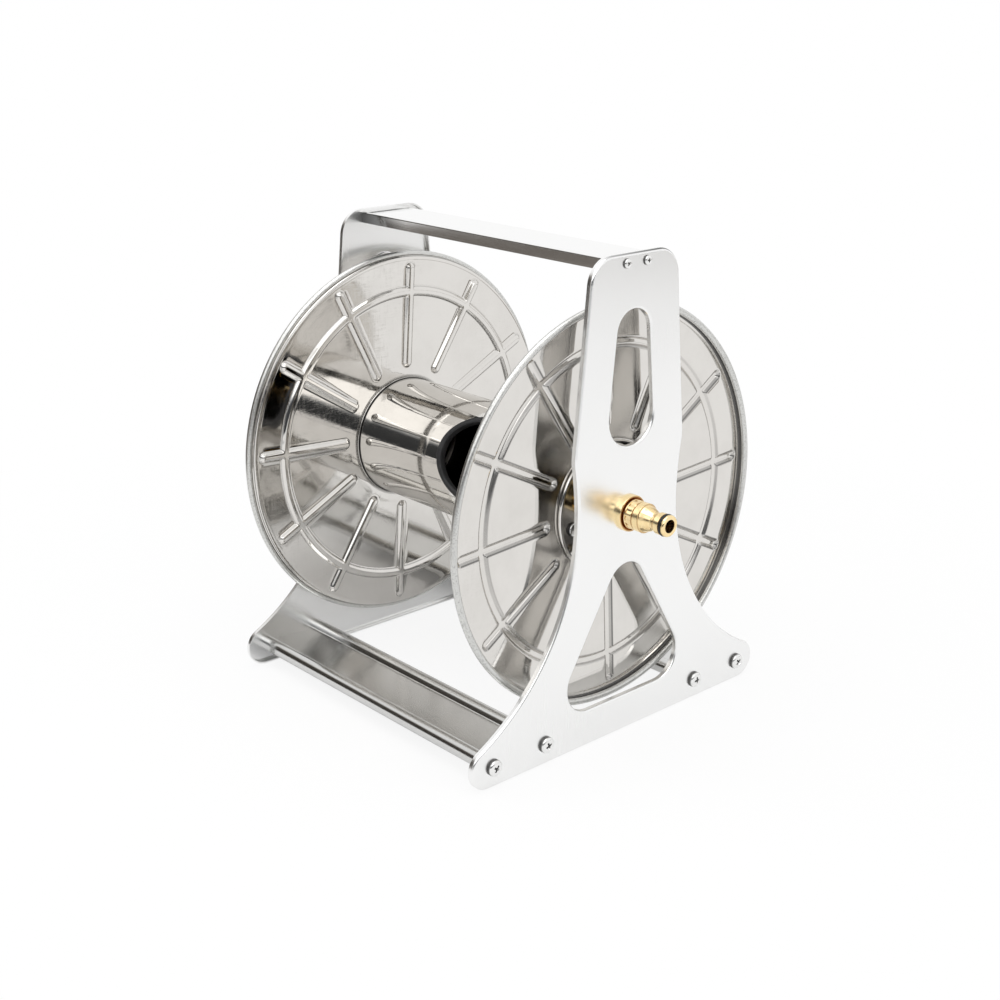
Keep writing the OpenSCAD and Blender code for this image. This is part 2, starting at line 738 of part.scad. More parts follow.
// Carrier plate, bearing on the stem and the chamber that the feed pipe leaves
module swivel_housing() color(brass) {
    on_axis(carrier_x) carrier(housing_d / 2 - cut);
    difference() {
        union() {
            on_axis(step_x) cylinder(d = housing_d, h = housing_l);
            on_axis(chamber_x) cylinder(d = chamber_d, h = chamber_l + chamber_wall);
        }
        on_axis(step_x - cut) cylinder(r = stem_r + running, h = housing_l + 2 * cut);
        on_axis(pipe_end_x) cylinder(r = stem_r + chamber_gap, h = step_x - pipe_end_x);
        on_axis(chamber_x - cut) cylinder(r = pipe_r, h = pipe_socket + 2 * cut);
    }
}

module feed_pipe() color(brass) on_axis(pipe_x) ring(pipe_r, bore_r, pipe_end_x - pipe_x);

// Elbow on the line of the grommet: one branch takes the feed pipe, the other the hose tail
module outlet_elbow() color(brass) difference() {
    union() {
        on_axis(grommet_x - elbow_r) cylinder(r = elbow_r, h = elbow_r + branch_l);
        towards_grommet() cylinder(r = elbow_r - elbow_step, h = branch_l);
    }
    on_axis(grommet_x - bore_r) cylinder(r = bore_r, h = elbow_d);
    towards_grommet() cylinder(r = bore_r - bore_step, h = elbow_d);
    on_axis(pipe_x) cylinder(r = pipe_r, h = elbow_d);
    towards_grommet() translate([0, 0, tail_root]) cylinder(r = tail_r, h = elbow_d);
}

// Tail that the hose inside the drum is pushed over, with three grooves
module hose_tail() color(brass) towards_grommet() difference() {
    translate([0, 0, tail_root]) ring(tail_r, bore_r, tail_reach - tail_root);
    for (k = [1:3]) translate([0, 0, tail_reach - tail_barb * k])
        ring(tail_r + cut, tail_r - barb_depth, barb_w);
}

// ---- Crank ----

// Carrier plate, body, journal, driving square and thread, from the drum outwards
module crank_axle() color(steel) {
    on_crank_axis(carrier_x) carrier(axle_body_d / 2 - cut);
    on_crank_axis(carrier_x - carrier_t)
        cylinder(d = axle_body_d, h = journal_x - carrier_x + carrier_t);
    on_crank_axis(journal_x) cylinder(d = axle_d, h = arm_x - journal_x);
    on_crank_axis(arm_x) linear_extrude(arm_t) square(square_w, center = true);
    on_crank_axis(arm_out_x)
        cylinder(d = axle_thread_d, h = axle_washer_t + axle_nut_t + spare_thread);
}

// Flat bar with round ends, hanging down from the square of the axle to the grip's pin
module crank_arm() color(steel) on_crank_axis(arm_x) rotate(-90) linear_extrude(arm_t)
    difference() {
        union() {
            circle(d = arm_w);
            translate([crank_r, 0]) circle(d = arm_tip_w);
            translate([0, -arm_neck_w / 2]) square([crank_r, arm_neck_w]);
        }
        square(square_w, center = true);
        translate([crank_r, 0]) circle(d = pin_d);
    }

module axle_washer() color(polished) on_crank_axis(arm_out_x)
    ring(axle_washer_d / 2, axle_thread_d / 2, axle_washer_t);

module axle_nut() color(polished) on_crank_axis(arm_out_x + axle_washer_t)
    hex_nut(nut_flats, axle_thread_d, axle_nut_t);

// The same as on_crank_axis, along the axis of the grip
module on_grip_axis(x) translate([0, 0, -crank_r]) on_crank_axis(x) children();

// Headed pin through grip and arm
module grip_pin() color(polished) {
    on_grip_axis(pin_x) cylinder(d = pin_d, h = pin_head_x - pin_x + pin_head_t / 2);
    on_grip_axis(pin_head_x) cylinder(d = pin_d + pin_head_rise, h = pin_head_t);
}

module pin_nut() color(polished) on_grip_axis(arm_x - pin_nut_t)
    hex_nut(nut_flats, pin_d, pin_nut_t);

// Waisted grip with rounded ends, drilled for the pin and recessed for its head
module crank_grip() color(black) on_grip_axis(grip_x) difference() {
    rotate_extrude() polygon(concat([[0, 0]],
        arc([grip_r - grip_round, grip_round], grip_round, -90, 0),
        [for (k = [1:waist_n - 1]) let (share = k / waist_n)
            [grip_r - grip_waist * sin(180 * share),
            grip_round + share * (grip_l - 2 * grip_round)]],
        arc([grip_r - grip_round, grip_l - grip_round], grip_round, 0, 90), [[0, grip_l]]));
    translate([0, 0, -cut]) cylinder(r = pin_d / 2 + running, h = grip_l + 2 * cut);
    translate([0, 0, pin_head_x - side_gap - grip_x])
        cylinder(d = pin_d + pin_head_rise + 2 * side_gap, h = grip_l);
}

side_plate_inlet();
side_plate_crank();
base_rail_near();
base_rail_far();
carry_bar();
rail_plugs();
rail_screws_inlet();
rail_screws_crank();
bar_screws_inlet();
bar_screws_crank();
swivel_stem();
inlet_washer();
inlet_nut();
inlet_nipple();
nipple_seal();
swivel_seals();
swivel_circlip();
crank_bush();
bush_nut();
drum_tube();
hose_grommet();
flange_inlet();
flange_crank();
drum_end_inlet();
drum_end_crank();
hub_screws_inlet();
hub_screws_crank();
swivel_housing();
feed_pipe();
outlet_elbow();
hose_tail();
crank_axle();
crank_arm();
axle_washer();
axle_nut();
grip_pin();
pin_nut();
crank_grip();
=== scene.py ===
"""Looks of a free-standing steel hose reel, built round its packed construction model."""

import json
import logging
import math
from collections.abc import Callable, Iterator, Sequence
from contextlib import contextmanager
from dataclasses import dataclass, field
from enum import Enum
from functools import partial

import bmesh
import bpy
from mathutils import Matrix, Vector


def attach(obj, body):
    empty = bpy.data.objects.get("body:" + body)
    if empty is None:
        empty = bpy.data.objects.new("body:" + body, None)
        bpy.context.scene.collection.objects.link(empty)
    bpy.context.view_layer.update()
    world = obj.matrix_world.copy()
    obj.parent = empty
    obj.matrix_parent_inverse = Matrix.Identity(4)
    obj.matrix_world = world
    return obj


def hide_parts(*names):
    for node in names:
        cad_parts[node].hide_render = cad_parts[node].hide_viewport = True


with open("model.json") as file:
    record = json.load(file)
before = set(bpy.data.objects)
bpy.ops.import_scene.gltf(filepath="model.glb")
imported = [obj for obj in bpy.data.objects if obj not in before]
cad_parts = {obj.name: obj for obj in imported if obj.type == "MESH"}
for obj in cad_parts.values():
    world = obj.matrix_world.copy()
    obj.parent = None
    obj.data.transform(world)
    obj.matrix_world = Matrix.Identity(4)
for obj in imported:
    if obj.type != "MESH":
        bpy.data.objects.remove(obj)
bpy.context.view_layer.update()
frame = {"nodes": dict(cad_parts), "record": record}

MM = 0.001
AXLE_H = 173.0
PLATE_X = 140.0
PLATE_SHEET = 1.2
DRUM_R = 48.5
DRUM_SHEET = 0.8
DRUM_END_X = 114.0
HOSE_FACE_X = 116.5
HOLE_R = 31.0
HOLE_X = 15.0
HOLE_TURN = 154.0
FULL_TURN = 2.0 * math.pi
# the mesh attribute that holds painted shade: how much darker each point is painted where shade
# falls
SHADE_ATTRIBUTE = "crease"
SLOTS = {part["node"]: part["material_slot"] for part in frame["record"]["subparts"]}
BODIES = {node: body for body, nodes in frame["record"]["behaviour"]["bodies"].items()
          for node in nodes}

log = logging.getLogger("hose_reel")

Point = tuple[float, float]
Triple = tuple[float, float, float]
Colour = tuple[float, float, float]
Stops = tuple[Point, ...]
Piece = bpy.types.Object
Material = bpy.types.Material
Socket = bpy.types.NodeSocket


class Side(Enum):
    """The two ends of the drum axis."""

    INLET = 1
    CRANK = -1

    @property
    def word(self) -> str:
        """The side's name as the construction model spells it."""
        return self.name.lower()


# ---------------------------------------------------------------- shader maths


class Wire:
    """A number in a material, which Python's operators act on by adding Math nodes."""

    def __init__(self, recipe: "Recipe", socket: Socket) -> None:
        """Wraps a socket.

        Args:
            recipe: The material that the socket belongs to.
            socket: The output that carries the number.
        """
        self.recipe = recipe
        self.socket = socket

    def _maths(self, operation: str, first: "Wire | float", second: "Wire | float") -> "Wire":
        """Adds a Math node.

        Args:
            operation: The node's operation.
            first: Its first value.
            second: Its second value.

        Returns:
            The node's result.
        """
        return self.recipe.wire("ShaderNodeMath", {"operation": operation},
                                {0: first, 1: second})

    def __add__(self, other: "Wire | float") -> "Wire":
        """self + other"""
        return self._maths("ADD", self, other)

    def __radd__(self, other: float) -> "Wire":
        """other + self"""
        return self._maths("ADD", other, self)

    def __sub__(self, other: "Wire | float") -> "Wire":
        """self - other"""
        return self._maths("SUBTRACT", self, other)

    def __rsub__(self, other: float) -> "Wire":
        """other - self"""
        return self._maths("SUBTRACT", other, self)

    def __mul__(self, other: "Wire | float") -> "Wire":
        """self * other"""
        return self._maths("MULTIPLY", self, other)

    def __rmul__(self, other: float) -> "Wire":
        """other * self"""
        return self._maths("MULTIPLY", other, self)

    def __or__(self, other: "Wire | float") -> "Wire":
        """The larger of the two."""
        return self._maths("MAXIMUM", self, other)

    def __abs__(self) -> "Wire":
        """The number without its sign."""
        return self._maths("ABSOLUTE", self, 0.0)


@dataclass(frozen=True)
class Grain:
    """A cloudy pattern: clouds per metre, octaves, and the levels between which it shows."""

    scale: float = 1.0
    detail: float = 2.0
    rough: float = 0.5
    levels: Point | None = None
    stretch: Triple = (1.0, 1.0, 1.0)
    turn: Triple = (0.0, 0.0, 0.0)


class Recipe:
    """A material or a world under construction."""

    def __init__(self, name: str, world: bool = False) -> None:
        """Starts an empty material or world.

        Args:
            name: Its name.
            world: Whether it is a world.
        """
        shelf = bpy.data.worlds if world else bpy.data.materials
        self.owner = shelf.new(name)
        self.owner.use_nodes = True
        self.tree = self.owner.node_tree
        self.tree.nodes.clear()

    def node(self, kind: str, settings: dict | None = None,
             sockets: dict | None = None) -> bpy.types.Node:
        """Adds one node, its settings first.

        Args:
            kind: The node's type.
            settings: Its settings by name; "stops" holds a ramp's positions and greys.
            sockets: Values, wires or sockets for its inputs, by name or number.

        Returns:
            The new node.
        """
        node = self.tree.nodes.new(kind)
        for name, value in (settings or {}).items():
            if name == "stops":
                ramp = node.color_ramp
                for spare in list(ramp.elements)[1:]:
                    ramp.elements.remove(spare)
                for k, (place, grey) in enumerate(value):
                    stop = ramp.elements[0] if k == 0 else ramp.elements.new(place)
                    stop.position = place
                    stop.color = (grey, grey, grey, 1.0)
            else:
                setattr(node, name, value)
        for name, value in (sockets or {}).items():
            socket = node.inputs[name]
            if isinstance(value, Wire):
                self.tree.links.new(value.socket, socket)
            elif isinstance(value, Socket):
                self.tree.links.new(value, socket)
            else:
                socket.default_value = value
        return node

    def wire(self, kind: str, settings: dict | None = None, sockets: dict | None = None,
             output: int = 0) -> Wire:
        """Adds one node and wraps one of its outputs.

        Args:
            kind: The node's type.
            settings: Its settings.
            sockets: Its inputs.
            output: The number of the output.

        Returns:
            That output as a number.
        """
        return Wire(self, self.node(kind, settings, sockets).outputs[output])

    def place(self) -> Socket:
        """The Object coordinates."""
        return self.node("ShaderNodeTexCoord").outputs["Object"]

    def axes(self) -> tuple[Wire, ...]:
        """The place on the object in metres, one number for each axis."""
        split = self.node("ShaderNodeSeparateXYZ", None, {0: self.place()})
        return tuple(Wire(self, part) for part in split.outputs)

    def reach(self, *axes: Wire) -> Wire:
        """Length of the vector that the numbers make."""
        flat = self.node("ShaderNodeCombineXYZ", None, dict(enumerate(axes))).outputs[0]
        return self.wire("ShaderNodeVectorMath", {"operation": "LENGTH"}, {0: flat}, 1)

    def noise(self, grain: Grain) -> Wire:
        """Adds a cloudy pattern in Object coordinates.

        Args:
            grain: The pattern.

        Returns:
            The pattern, from 0 to 1.
        """
        drawn = self.node("ShaderNodeMapping", None, {
            "Vector": self.place(), "Scale": grain.stretch, "Rotation": grain.turn})
        cloud = self.wire("ShaderNodeTexNoise", None, {
            "Vector": drawn.outputs["Vector"], "Scale": grain.scale, "Detail": grain.detail,
            "Roughness": grain.rough})
        return self.step(cloud, *grain.levels) if grain.levels else cloud

    def grime(self) -> Wire:
        """The painted shade that mark() has written on the mesh, from 0 to 1."""
        return self.wire("ShaderNodeAttribute", {"attribute_name": SHADE_ATTRIBUTE}, output=2)

    def step(self, value: Wire, low: float, high: float) -> Wire:
        """0 below the low level, 1 above the high one and a slope between them."""
        return self.ramp(value, [(low, 0.0), (high, 1.0)])

    def ramp(self, value: Wire, stops: Sequence[tuple[float, float]]) -> Wire:
        """Maps a number through a ramp of greys.

        Args:
            value: The number.
            stops: Positions and greys.

        Returns:
            The mapped number.
        """
        return self.wire("ShaderNodeValToRGB", {"stops": stops}, {0: value})

    def blend(self, mask: Wire, under: Socket | tuple,
              over: Colour) -> Socket:
        """Lays a colour over another one.

        Args:
            mask: 0 gives the colour under it and 1 the one over it.
            under: The colour output, or the plain colour, under it.
            over: The plain colour over it.

        Returns:
            The colour output.
        """
        return self.node("ShaderNodeMix", {"data_type": "RGBA"}, {
            0: mask, 6: under, 7: (*over, 1.0)}).outputs[2]

    def tint(self, mask: Wire, low: Colour, high: Colour) -> Socket:
        """Mixes two plain colours: mask 0 gives the first one and 1 the second."""
        return self.blend(mask, (*low, 1.0), high)

    def bump(self, height: Wire, distance: float, strength: float = 1.0,
             under: Socket | None = None) -> Socket:
        """Adds a Bump node.

        Args:
            height: The relief, from 0 to 1.
            distance: Its height in metres.
            strength: Its strength.
            under: The normal of a coarser relief under it.

        Returns:
            The normal output.
        """
        sockets = {"Height": height, "Distance": distance, "Strength": strength}
        if under is not None:
            sockets["Normal"] = under
        return self.node("ShaderNodeBump", None, sockets).outputs["Normal"]

    def surface(self, **sockets: object) -> Material:
        """Closes the material with a Principled shader.

        Args:
            **sockets: The shader's inputs, with _ for a space in their names.

        Returns:
            The finished material.
        """
        shader = self.node("ShaderNodeBsdfPrincipled", None, {
            name.replace("_", " "): value for name, value in sockets.items()})
        self.node("ShaderNodeOutputMaterial", None, {"Surface": shader.outputs[0]})
        return self.owner


# ---------------------------------------------------------------- finishes


@dataclass(frozen=True)
class MirrorSheet:
    """Bright rolled stainless sheet: slightly wavy, with patches of fine scratches and shade
    painted in its creases.
    """

    name: str
    colour: Colour = (0.735, 0.715, 0.685)
    shade: Colour = (0.65, 0.63, 0.6)
    # crevice: the near-black colour painted as shade at the feet of the pressings, the fold and the
    # hub
    crevice: Colour = (0.05, 0.05, 0.05)
    scuffed: Colour = (0.68, 0.68, 0.66)
    crevice_share: float = 0.9
    pit_share: float = 0.4
    stain_share: float = 0.6
    scratch_share: float = 0.3
    polish: float = 0.045
    scratch_rough: float = 0.16
    stain_rough: float = 0.03
    dull_rough: float = 0.2
    rim_rough: float = 0.24
    rim_r: float = 0.1493
    rim_x: float = 0.1209
    rim_levels: Point = (0.3, 0.7)
    pit_levels: Point = (0.5, 0.66)
    scratch_levels: Point = (0.5, 0.62)
    dull_levels: Point = (0.03, 0.12)
    wave_h: float = 0.0002
    scratch_h: float = 0.000005
    sand_h: float = 0.00005
    sand: Grain = Grain(900.0, 3.0, 0.7)
    patches: Grain = Grain(13.0, 3.0, levels=(0.5, 0.68))
    hairs: Grain = Grain(rough=0.6, stretch=(60.0, 1500.0, 60.0), turn=(0.5, 0.3, 0.2))
    cross: Grain = Grain(rough=0.6, stretch=(60.0, 80.0, 1400.0), turn=(-0.6, 0.2, 0.4))
    waves: Grain = Grain(16.0, 1.0, 0.4)
    stain: Grain = Grain(30.0, 4.0, 0.6, levels=(0.4, 0.75))

    def make(self) -> Material:
        """Makes the material.

        Returns:
            The material.
        """
        recipe = Recipe(self.name)
        x, y, z = recipe.axes()
        outside = (recipe.reach(y, z - AXLE_H * MM) - self.rim_r) | (abs(x) - self.rim_x)
        rim = recipe.step(outside * (1 / MM) + 0.5, *self.rim_levels)
        sand = recipe.noise(self.sand)
        pits = recipe.step(sand, *self.pit_levels)
        hairs = recipe.noise(self.hairs) * 0.5 + recipe.noise(self.cross) * 0.5
        scratches = recipe.step(hairs, *self.scratch_levels) * recipe.noise(self.patches)
        stain = recipe.noise(self.stain)
        grime = recipe.grime()
        dull = recipe.step(grime, *self.dull_levels)
        sheen = recipe.tint(stain * self.stain_share + scratches * self.scratch_share,
                            self.colour, self.shade)
        # the rolled rim's own scuffed colour, which is real wear; the painted shade goes over it
        # below
        worn = recipe.blend(rim, sheen, self.scuffed)
        # painted shade from the marks, together with the real dark pits of the sandy rim
        dark = grime * self.crevice_share | rim * pits * self.pit_share
        waves = recipe.bump(recipe.noise(self.waves), self.wave_h)
        fine = recipe.bump(scratches, self.scratch_h, under=waves)
        return recipe.surface(
            Base_Color=recipe.blend(dark, worn, self.crevice), Metallic=1.0,
            Roughness=(scratches * self.scratch_rough + stain * self.stain_rough
                       + dull * self.dull_rough + rim * self.rim_rough + self.polish),
            Normal=recipe.bump(sand * rim, self.sand_h, under=fine))


@dataclass(frozen=True)
class TubeSheet:
    """The same sheet on the winding tube, with shade painted dark and rough in the creases and
    inside it.
    """

    name: str
    colour: Colour = (0.735, 0.715, 0.685)
    shade: Colour = (0.65, 0.63, 0.6)
    # dull: the near-black colour painted as shade inside the tube and in the creases by the flanges
    dull: Colour = (0.025, 0.024, 0.023)
    stain_share: float = 0.6
    polish: float = 0.04
    dull_rough: float = 0.4
    stain_rough: float = 0.03
    drawn_rough: float = 0.02
    inside_r: float = 0.0481
    crease_x: float = 0.1143
    crease_half: float = 0.002
    dull_stops: Stops = ((0.3, 1.0), (0.6, 0.0))
    wave_h: float = 0.00012
    drawn_h: float = 0.00001
    drawn_share: float = 0.6
    drawn: Grain = Grain(stretch=(6.0, 240.0, 240.0))
    stain: Grain = Grain(34.0, 4.0, 0.6, levels=(0.45, 0.75))
    waves: Grain = Grain(20.0, 1.0, 0.4)

    def make(self) -> Material:
        """Makes the material.

        Returns:
            The material.
        """
        recipe = Recipe(self.name)
        x, y, z = recipe.axes()
        above = recipe.reach(y, z - AXLE_H * MM) - self.inside_r
        inside = recipe.ramp(above * (1 / MM) + 0.5, self.dull_stops)
        gap = abs(abs(x) - self.crease_x)
        # painted shade: inside the tube and along the creases where the flanges meet it
        dark = inside | recipe.ramp(gap * (1 / self.crease_half), self.dull_stops)
        drawn, stain = recipe.noise(self.drawn), recipe.noise(self.stain)
        waves = recipe.bump(recipe.noise(self.waves), self.wave_h)
        sheen = recipe.tint(stain * self.stain_share, self.colour, self.shade)
        return recipe.surface(
            Base_Color=recipe.blend(dark, sheen, self.dull), Metallic=1.0,
            Roughness=(dark * self.dull_rough + stain * self.stain_rough
                       + drawn * self.drawn_rough + self.polish),
            Normal=recipe.bump(drawn, self.drawn_h, self.drawn_share, waves))


@dataclass(frozen=True)
class SatinSheet:
    """Satin stainless sheet with a faint rolling grain along one direction, and shade painted where
    it is marked.
    """

    name: str
    colour: Colour = (0.945, 0.945, 0.94)
    shade: Colour = (0.9, 0.9, 0.895)
    # crevice: the colour painted as shade on the plates' top bends and the bar's skirts
    crevice: Colour = (0.1, 0.1, 0.098)
    rough: float = 0.2
    grain_rough: float = 0.06
    cloud_rough: float = 0.05
    grain_h: float = 0.0000012
    wave_h: float = 0.0002
    grain: Grain = Grain(rough=0.6, stretch=(60.0, 1800.0, 25.0))
    clouds: Grain = Grain(9.0)

    def make(self) -> Material:
        """Makes the material.

        Returns:
            The material.
        """
        recipe = Recipe(self.name)
        grain, clouds = recipe.noise(self.grain), recipe.noise(self.clouds)
        sheen = recipe.tint(clouds, self.colour, self.shade)
        # painted shade from the marks, in the crevice colour
        return recipe.surface(
            Base_Color=recipe.blend(recipe.grime(), sheen, self.crevice), Metallic=1.0,
            Roughness=grain * self.grain_rough + clouds * self.cloud_rough + self.rough,
            Normal=recipe.bump(grain, self.grain_h, under=recipe.bump(clouds, self.wave_h)))


@dataclass(frozen=True)
class TurnedBrass:
    """Bright turned brass with fine tool rings, a little tarnish and shade painted in its recesses.
    """

    name: str
    colour: Colour = (0.98, 0.78, 0.44)
    dull: Colour = (0.84, 0.55, 0.24)
    # groove: the dark brown colour painted as shade in the recesses and creases of the inlet
    # fitting
    groove: Colour = (0.3, 0.1, 0.015)
    tarnish_share: float = 0.5
    rough: float = 0.11
    ring_rough: float = 0.08
    tarnish_rough: float = 0.12
    groove_rough: float = 0.2
    ring_h: float = 0.00001
    rings: Grain = Grain(detail=1.0, stretch=(2600.0, 40.0, 40.0))
    tarnish: Grain = Grain(120.0, 4.0, 0.6, levels=(0.45, 0.8))

    def make(self) -> Material:
        """Makes the material.

        Returns:
            The material.
        """
        recipe = Recipe(self.name)
        grime = recipe.grime()
        rings, tarnish = recipe.noise(self.rings), recipe.noise(self.tarnish)
        sheen = recipe.tint(tarnish * self.tarnish_share, self.colour, self.dull)
        # painted shade from the marks, in the groove colour
        return recipe.surface(
            Base_Color=recipe.blend(grime, sheen, self.groove), Metallic=1.0,
            Roughness=(rings * self.ring_rough + tarnish * self.tarnish_rough
                       + grime * self.groove_rough + self.rough),
            Normal=recipe.bump(rings, self.ring_h))


@dataclass(frozen=True)
class PlatedSteel:
    """Bright zinc or nickel plating, or bare spring steel, slightly mottled, with shade painted
    where it is marked.
    """

    name: str
    colour: Colour = (0.7, 0.71, 0.72)
    shade: Colour = (0.52, 0.52, 0.52)
    # the near-black colour painted as shade in the screws' recesses and round the feet of their
    # heads
    grime: Colour = (0.05, 0.048, 0.045)
    rough: float = 0.22
    mottle_rough: float = 0.14
    grime_rough: float = 0.3
    mottle_h: float = 0.000012
    mottle: Grain = Grain(260.0, 3.0)
    wear: Grain = Grain(60.0, 4.0, 0.6)

    def make(self) -> Material:
        """Makes the material.

        Returns:
            The material.
        """
        recipe = Recipe(self.name)
        grime, mottle = recipe.grime(), recipe.noise(self.mottle)
        sheen = recipe.tint(recipe.noise(self.wear), self.colour, self.shade)
        # painted shade from the marks, in the near-black colour
        return recipe.surface(
            Base_Color=recipe.blend(grime, sheen, self.grime), Metallic=1.0,
            Roughness=mottle * self.mottle_rough + grime * self.grime_rough + self.rough,
            Normal=recipe.bump(mottle, self.mottle_h))


@dataclass(frozen=True)
class BlackMoulding:
    """Black rubber or nylon with a fine moulded texture and paler rubbed places."""

    name: str
    colour: Colour = (0.018, 0.018, 0.019)
    rubbed: Colour = (0.05, 0.05, 0.052)
    rough: float = 0.5
    pore_rough: float = 0.1
    rub_polish: float = 0.12
    gloss: float = 0.4
    pore_h: float = 0.00004
    pores: Grain = Grain(900.0, 2.0, 0.6)
    rubs: Grain = Grain(55.0, 4.0, 0.6, levels=(0.45, 0.8))

    def make(self) -> Material:
        """Makes the material.

        Returns:
            The material.
        """
        recipe = Recipe(self.name)
        pores, rubs = recipe.noise(self.pores), recipe.noise(self.rubs)
        return recipe.surface(
            Base_Color=recipe.tint(rubs, self.colour, self.rubbed),
            Roughness=pores * self.pore_rough - rubs * self.rub_polish + self.rough,
            Specular_IOR_Level=self.gloss,
            Normal=recipe.bump(pores, self.pore_h))


# ---------------------------------------------------------------- bench work


class Element(Enum):
    """What can be selected in edit mode, and how a mesh calls it."""

    EDGE = "edges"
    FACE = "faces"


def pick(*pieces: Piece) -> None:
    """Selects these pieces alone and makes the first one active."""
    bpy.ops.object.select_all(action="DESELECT")
    for piece in pieces:
        piece.select_set(True)
    bpy.context.view_layer.objects.active = pieces[0]


@contextmanager
def editing(piece: Piece) -> Iterator[None]:
    """Opens a piece in edit mode, all of it selected, and closes it again.

    Args:
        piece: The piece.

    Yields:
        Nothing.
    """
    pick(piece)
    bpy.ops.object.mode_set(mode="EDIT")
    bpy.ops.mesh.select_all(action="SELECT")
    yield
    bpy.ops.object.mode_set(mode="OBJECT")


def choose(piece: Piece, kind: Element,
           test: Callable[[bmesh.types.BMEdge | bmesh.types.BMFace], bool]) -> None:
    """Selects edges or faces by their place or direction while a piece is in edit mode.

    Args:
        piece: The piece.
        kind: What is selected.
        test: Says whether an edge or a face is wanted.
    """
    bpy.ops.mesh.select_mode(type=kind.name)
    bpy.ops.mesh.select_all(action="DESELECT")
    mesh = bmesh.from_edit_mesh(piece.data)
    for element in getattr(mesh, kind.value):
        if test(element):
            element.select_set(True)
    mesh.select_flush_mode()
    bmesh.update_edit_mesh(piece.data)


def fresh(add: Callable[..., object], **settings: object) -> Piece:
    """Adds a new piece while everything else is deselected.

    Args:
        add: The operator that adds it.
        **settings: The operator's settings.

    Returns:
        The new piece.
    """
    bpy.ops.object.select_all(action="DESELECT")
    add(**settings)
    return bpy.context.object


def block(*sides: float) -> Piece:
    """Adds a block round the origin.

    Args:
        *sides: Its sides along X, Y and Z in millimetres.

    Returns:
        The block.
    """
    piece = fresh(bpy.ops.mesh.primitive_cube_add, size=1.0)
    with editing(piece):
        bpy.ops.transform.resize(value=[side * MM for side in sides])
    return piece


def put(piece: Piece, *moves: Matrix) -> None:
    """Moves a piece's mesh by each matrix in turn."""
    for move in moves:
        piece.data.transform(move)


def shift(x: float, y: float, z: float) -> Matrix:
    """A move along the three axes, in millimetres."""
    return Matrix.Translation((x * MM, y * MM, z * MM))


def roll(degrees: float, axis: str = "X") -> Matrix:
    """A turn about an axis through the origin."""
    return Matrix.Rotation(math.radians(degrees), 4, axis)


def line(name: str, points: Sequence[Vector], closed: bool = True) -> Piece:
    """Adds a circle and moves its vertices to the given points.

    Args:
        name: The piece's name.
        points: Points in millimetres, in order.
        closed: Whether the last point joins the first.

    Returns:
        A piece of edges alone.
    """
    piece = fresh(bpy.ops.mesh.primitive_circle_add, vertices=len(points), radius=1.0)
    piece.name = piece.data.name = name
    piece.data.vertices.foreach_set("co", [c * MM for p in points for c in p])
    piece.data.update()
    if not closed:
        ends = {0, len(points) - 1}
        with editing(piece):
            choose(piece, Element.EDGE, lambda e: {v.index for v in e.verts} == ends)
            bpy.ops.mesh.delete(type="EDGE")
    return piece


def loft(name: str, rows: Sequence[Sequence[Vector]], closed: bool = True) -> Piece:
    """Extrudes a line again and again, each time to the next row of points.

    Args:
        name: The piece's name.
        rows: Rows of points in millimetres, all as long as the first one.
        closed: Whether the last point of a row joins the first.

    Returns:
        The piece.
    """
    piece = line(name, rows[0], closed)
    with editing(piece):
        mesh = bmesh.from_edit_mesh(piece.data)
        order = mesh.verts.layers.int.new("order")
        for vertex in mesh.verts:
            vertex[order] = vertex.index
        for row in rows[1:]:
            bmesh.update_edit_mesh(piece.data)
            bpy.ops.mesh.extrude_region_move(TRANSFORM_OT_translate={"value": (0, 0, 0)})
            mesh = bmesh.from_edit_mesh(piece.data)
            order = mesh.verts.layers.int["order"]
            for vertex in mesh.verts:
                if vertex.select:
                    vertex.co = Vector(row[vertex[order]]) * MM
        mesh.verts.layers.int.remove(order)
        bmesh.update_edit_mesh(piece.data)
    return piece


def fill_out(piece: Piece, depth: float) -> None:
    """Fills closed lines in a plane across X and draws the face out along X.

    Args:
        piece: The lines.
        depth: How far the face is drawn out, in millimetres.
    """
    with editing(piece):
        bpy.ops.mesh.fill()
        bpy.ops.mesh.extrude_region_move(TRANSFORM_OT_translate={"value": (depth * MM, 0, 0)})
        bpy.ops.mesh.select_all(action="SELECT")
        bpy.ops.mesh.normals_make_consistent(inside=False)


def join(pieces: Sequence[Piece]) -> Piece:
    """Joins pieces into the first one.

    Args:
        pieces: The pieces.

    Returns:
        The first piece.
    """
    pick(*pieces)
    if len(pieces) > 1:
        bpy.ops.object.join()
    return pieces[0]


def weld(piece: Piece, reach: float = 0.002) -> None:
    """Merges doubles and turns the faces outwards.

    Args:
        piece: The piece.
        reach: How far apart two doubles may lie, in millimetres.
    """
    with editing(piece):
        bpy.ops.mesh.remove_doubles(threshold=reach * MM)
        bpy.ops.mesh.normals_make_consistent(inside=False)


def turned(name: str, profile: Sequence[Point], steps: int = 48, closed: bool = True,
           centre: Point = (0.0, AXLE_H)) -> Piece:
    """Turns a profile round a line that runs along X, as on a lathe.

    Args:
        name: The piece's name.
        profile: Points (distance along X, radius) in millimetres.
        steps: Faces round the turn.
        closed: Whether the profile is a closed outline.
        centre: The line's Y and Z in millimetres.

    Returns:
        The turned piece.
    """
    y, z = centre
    piece = line(name, [Vector((x, y, z + r)) for x, r in profile], closed)
    with editing(piece):
        bpy.ops.mesh.spin(steps=steps, angle=FULL_TURN, center=(0, y * MM, z * MM),
                          axis=(1, 0, 0))
    weld(piece)
    return piece


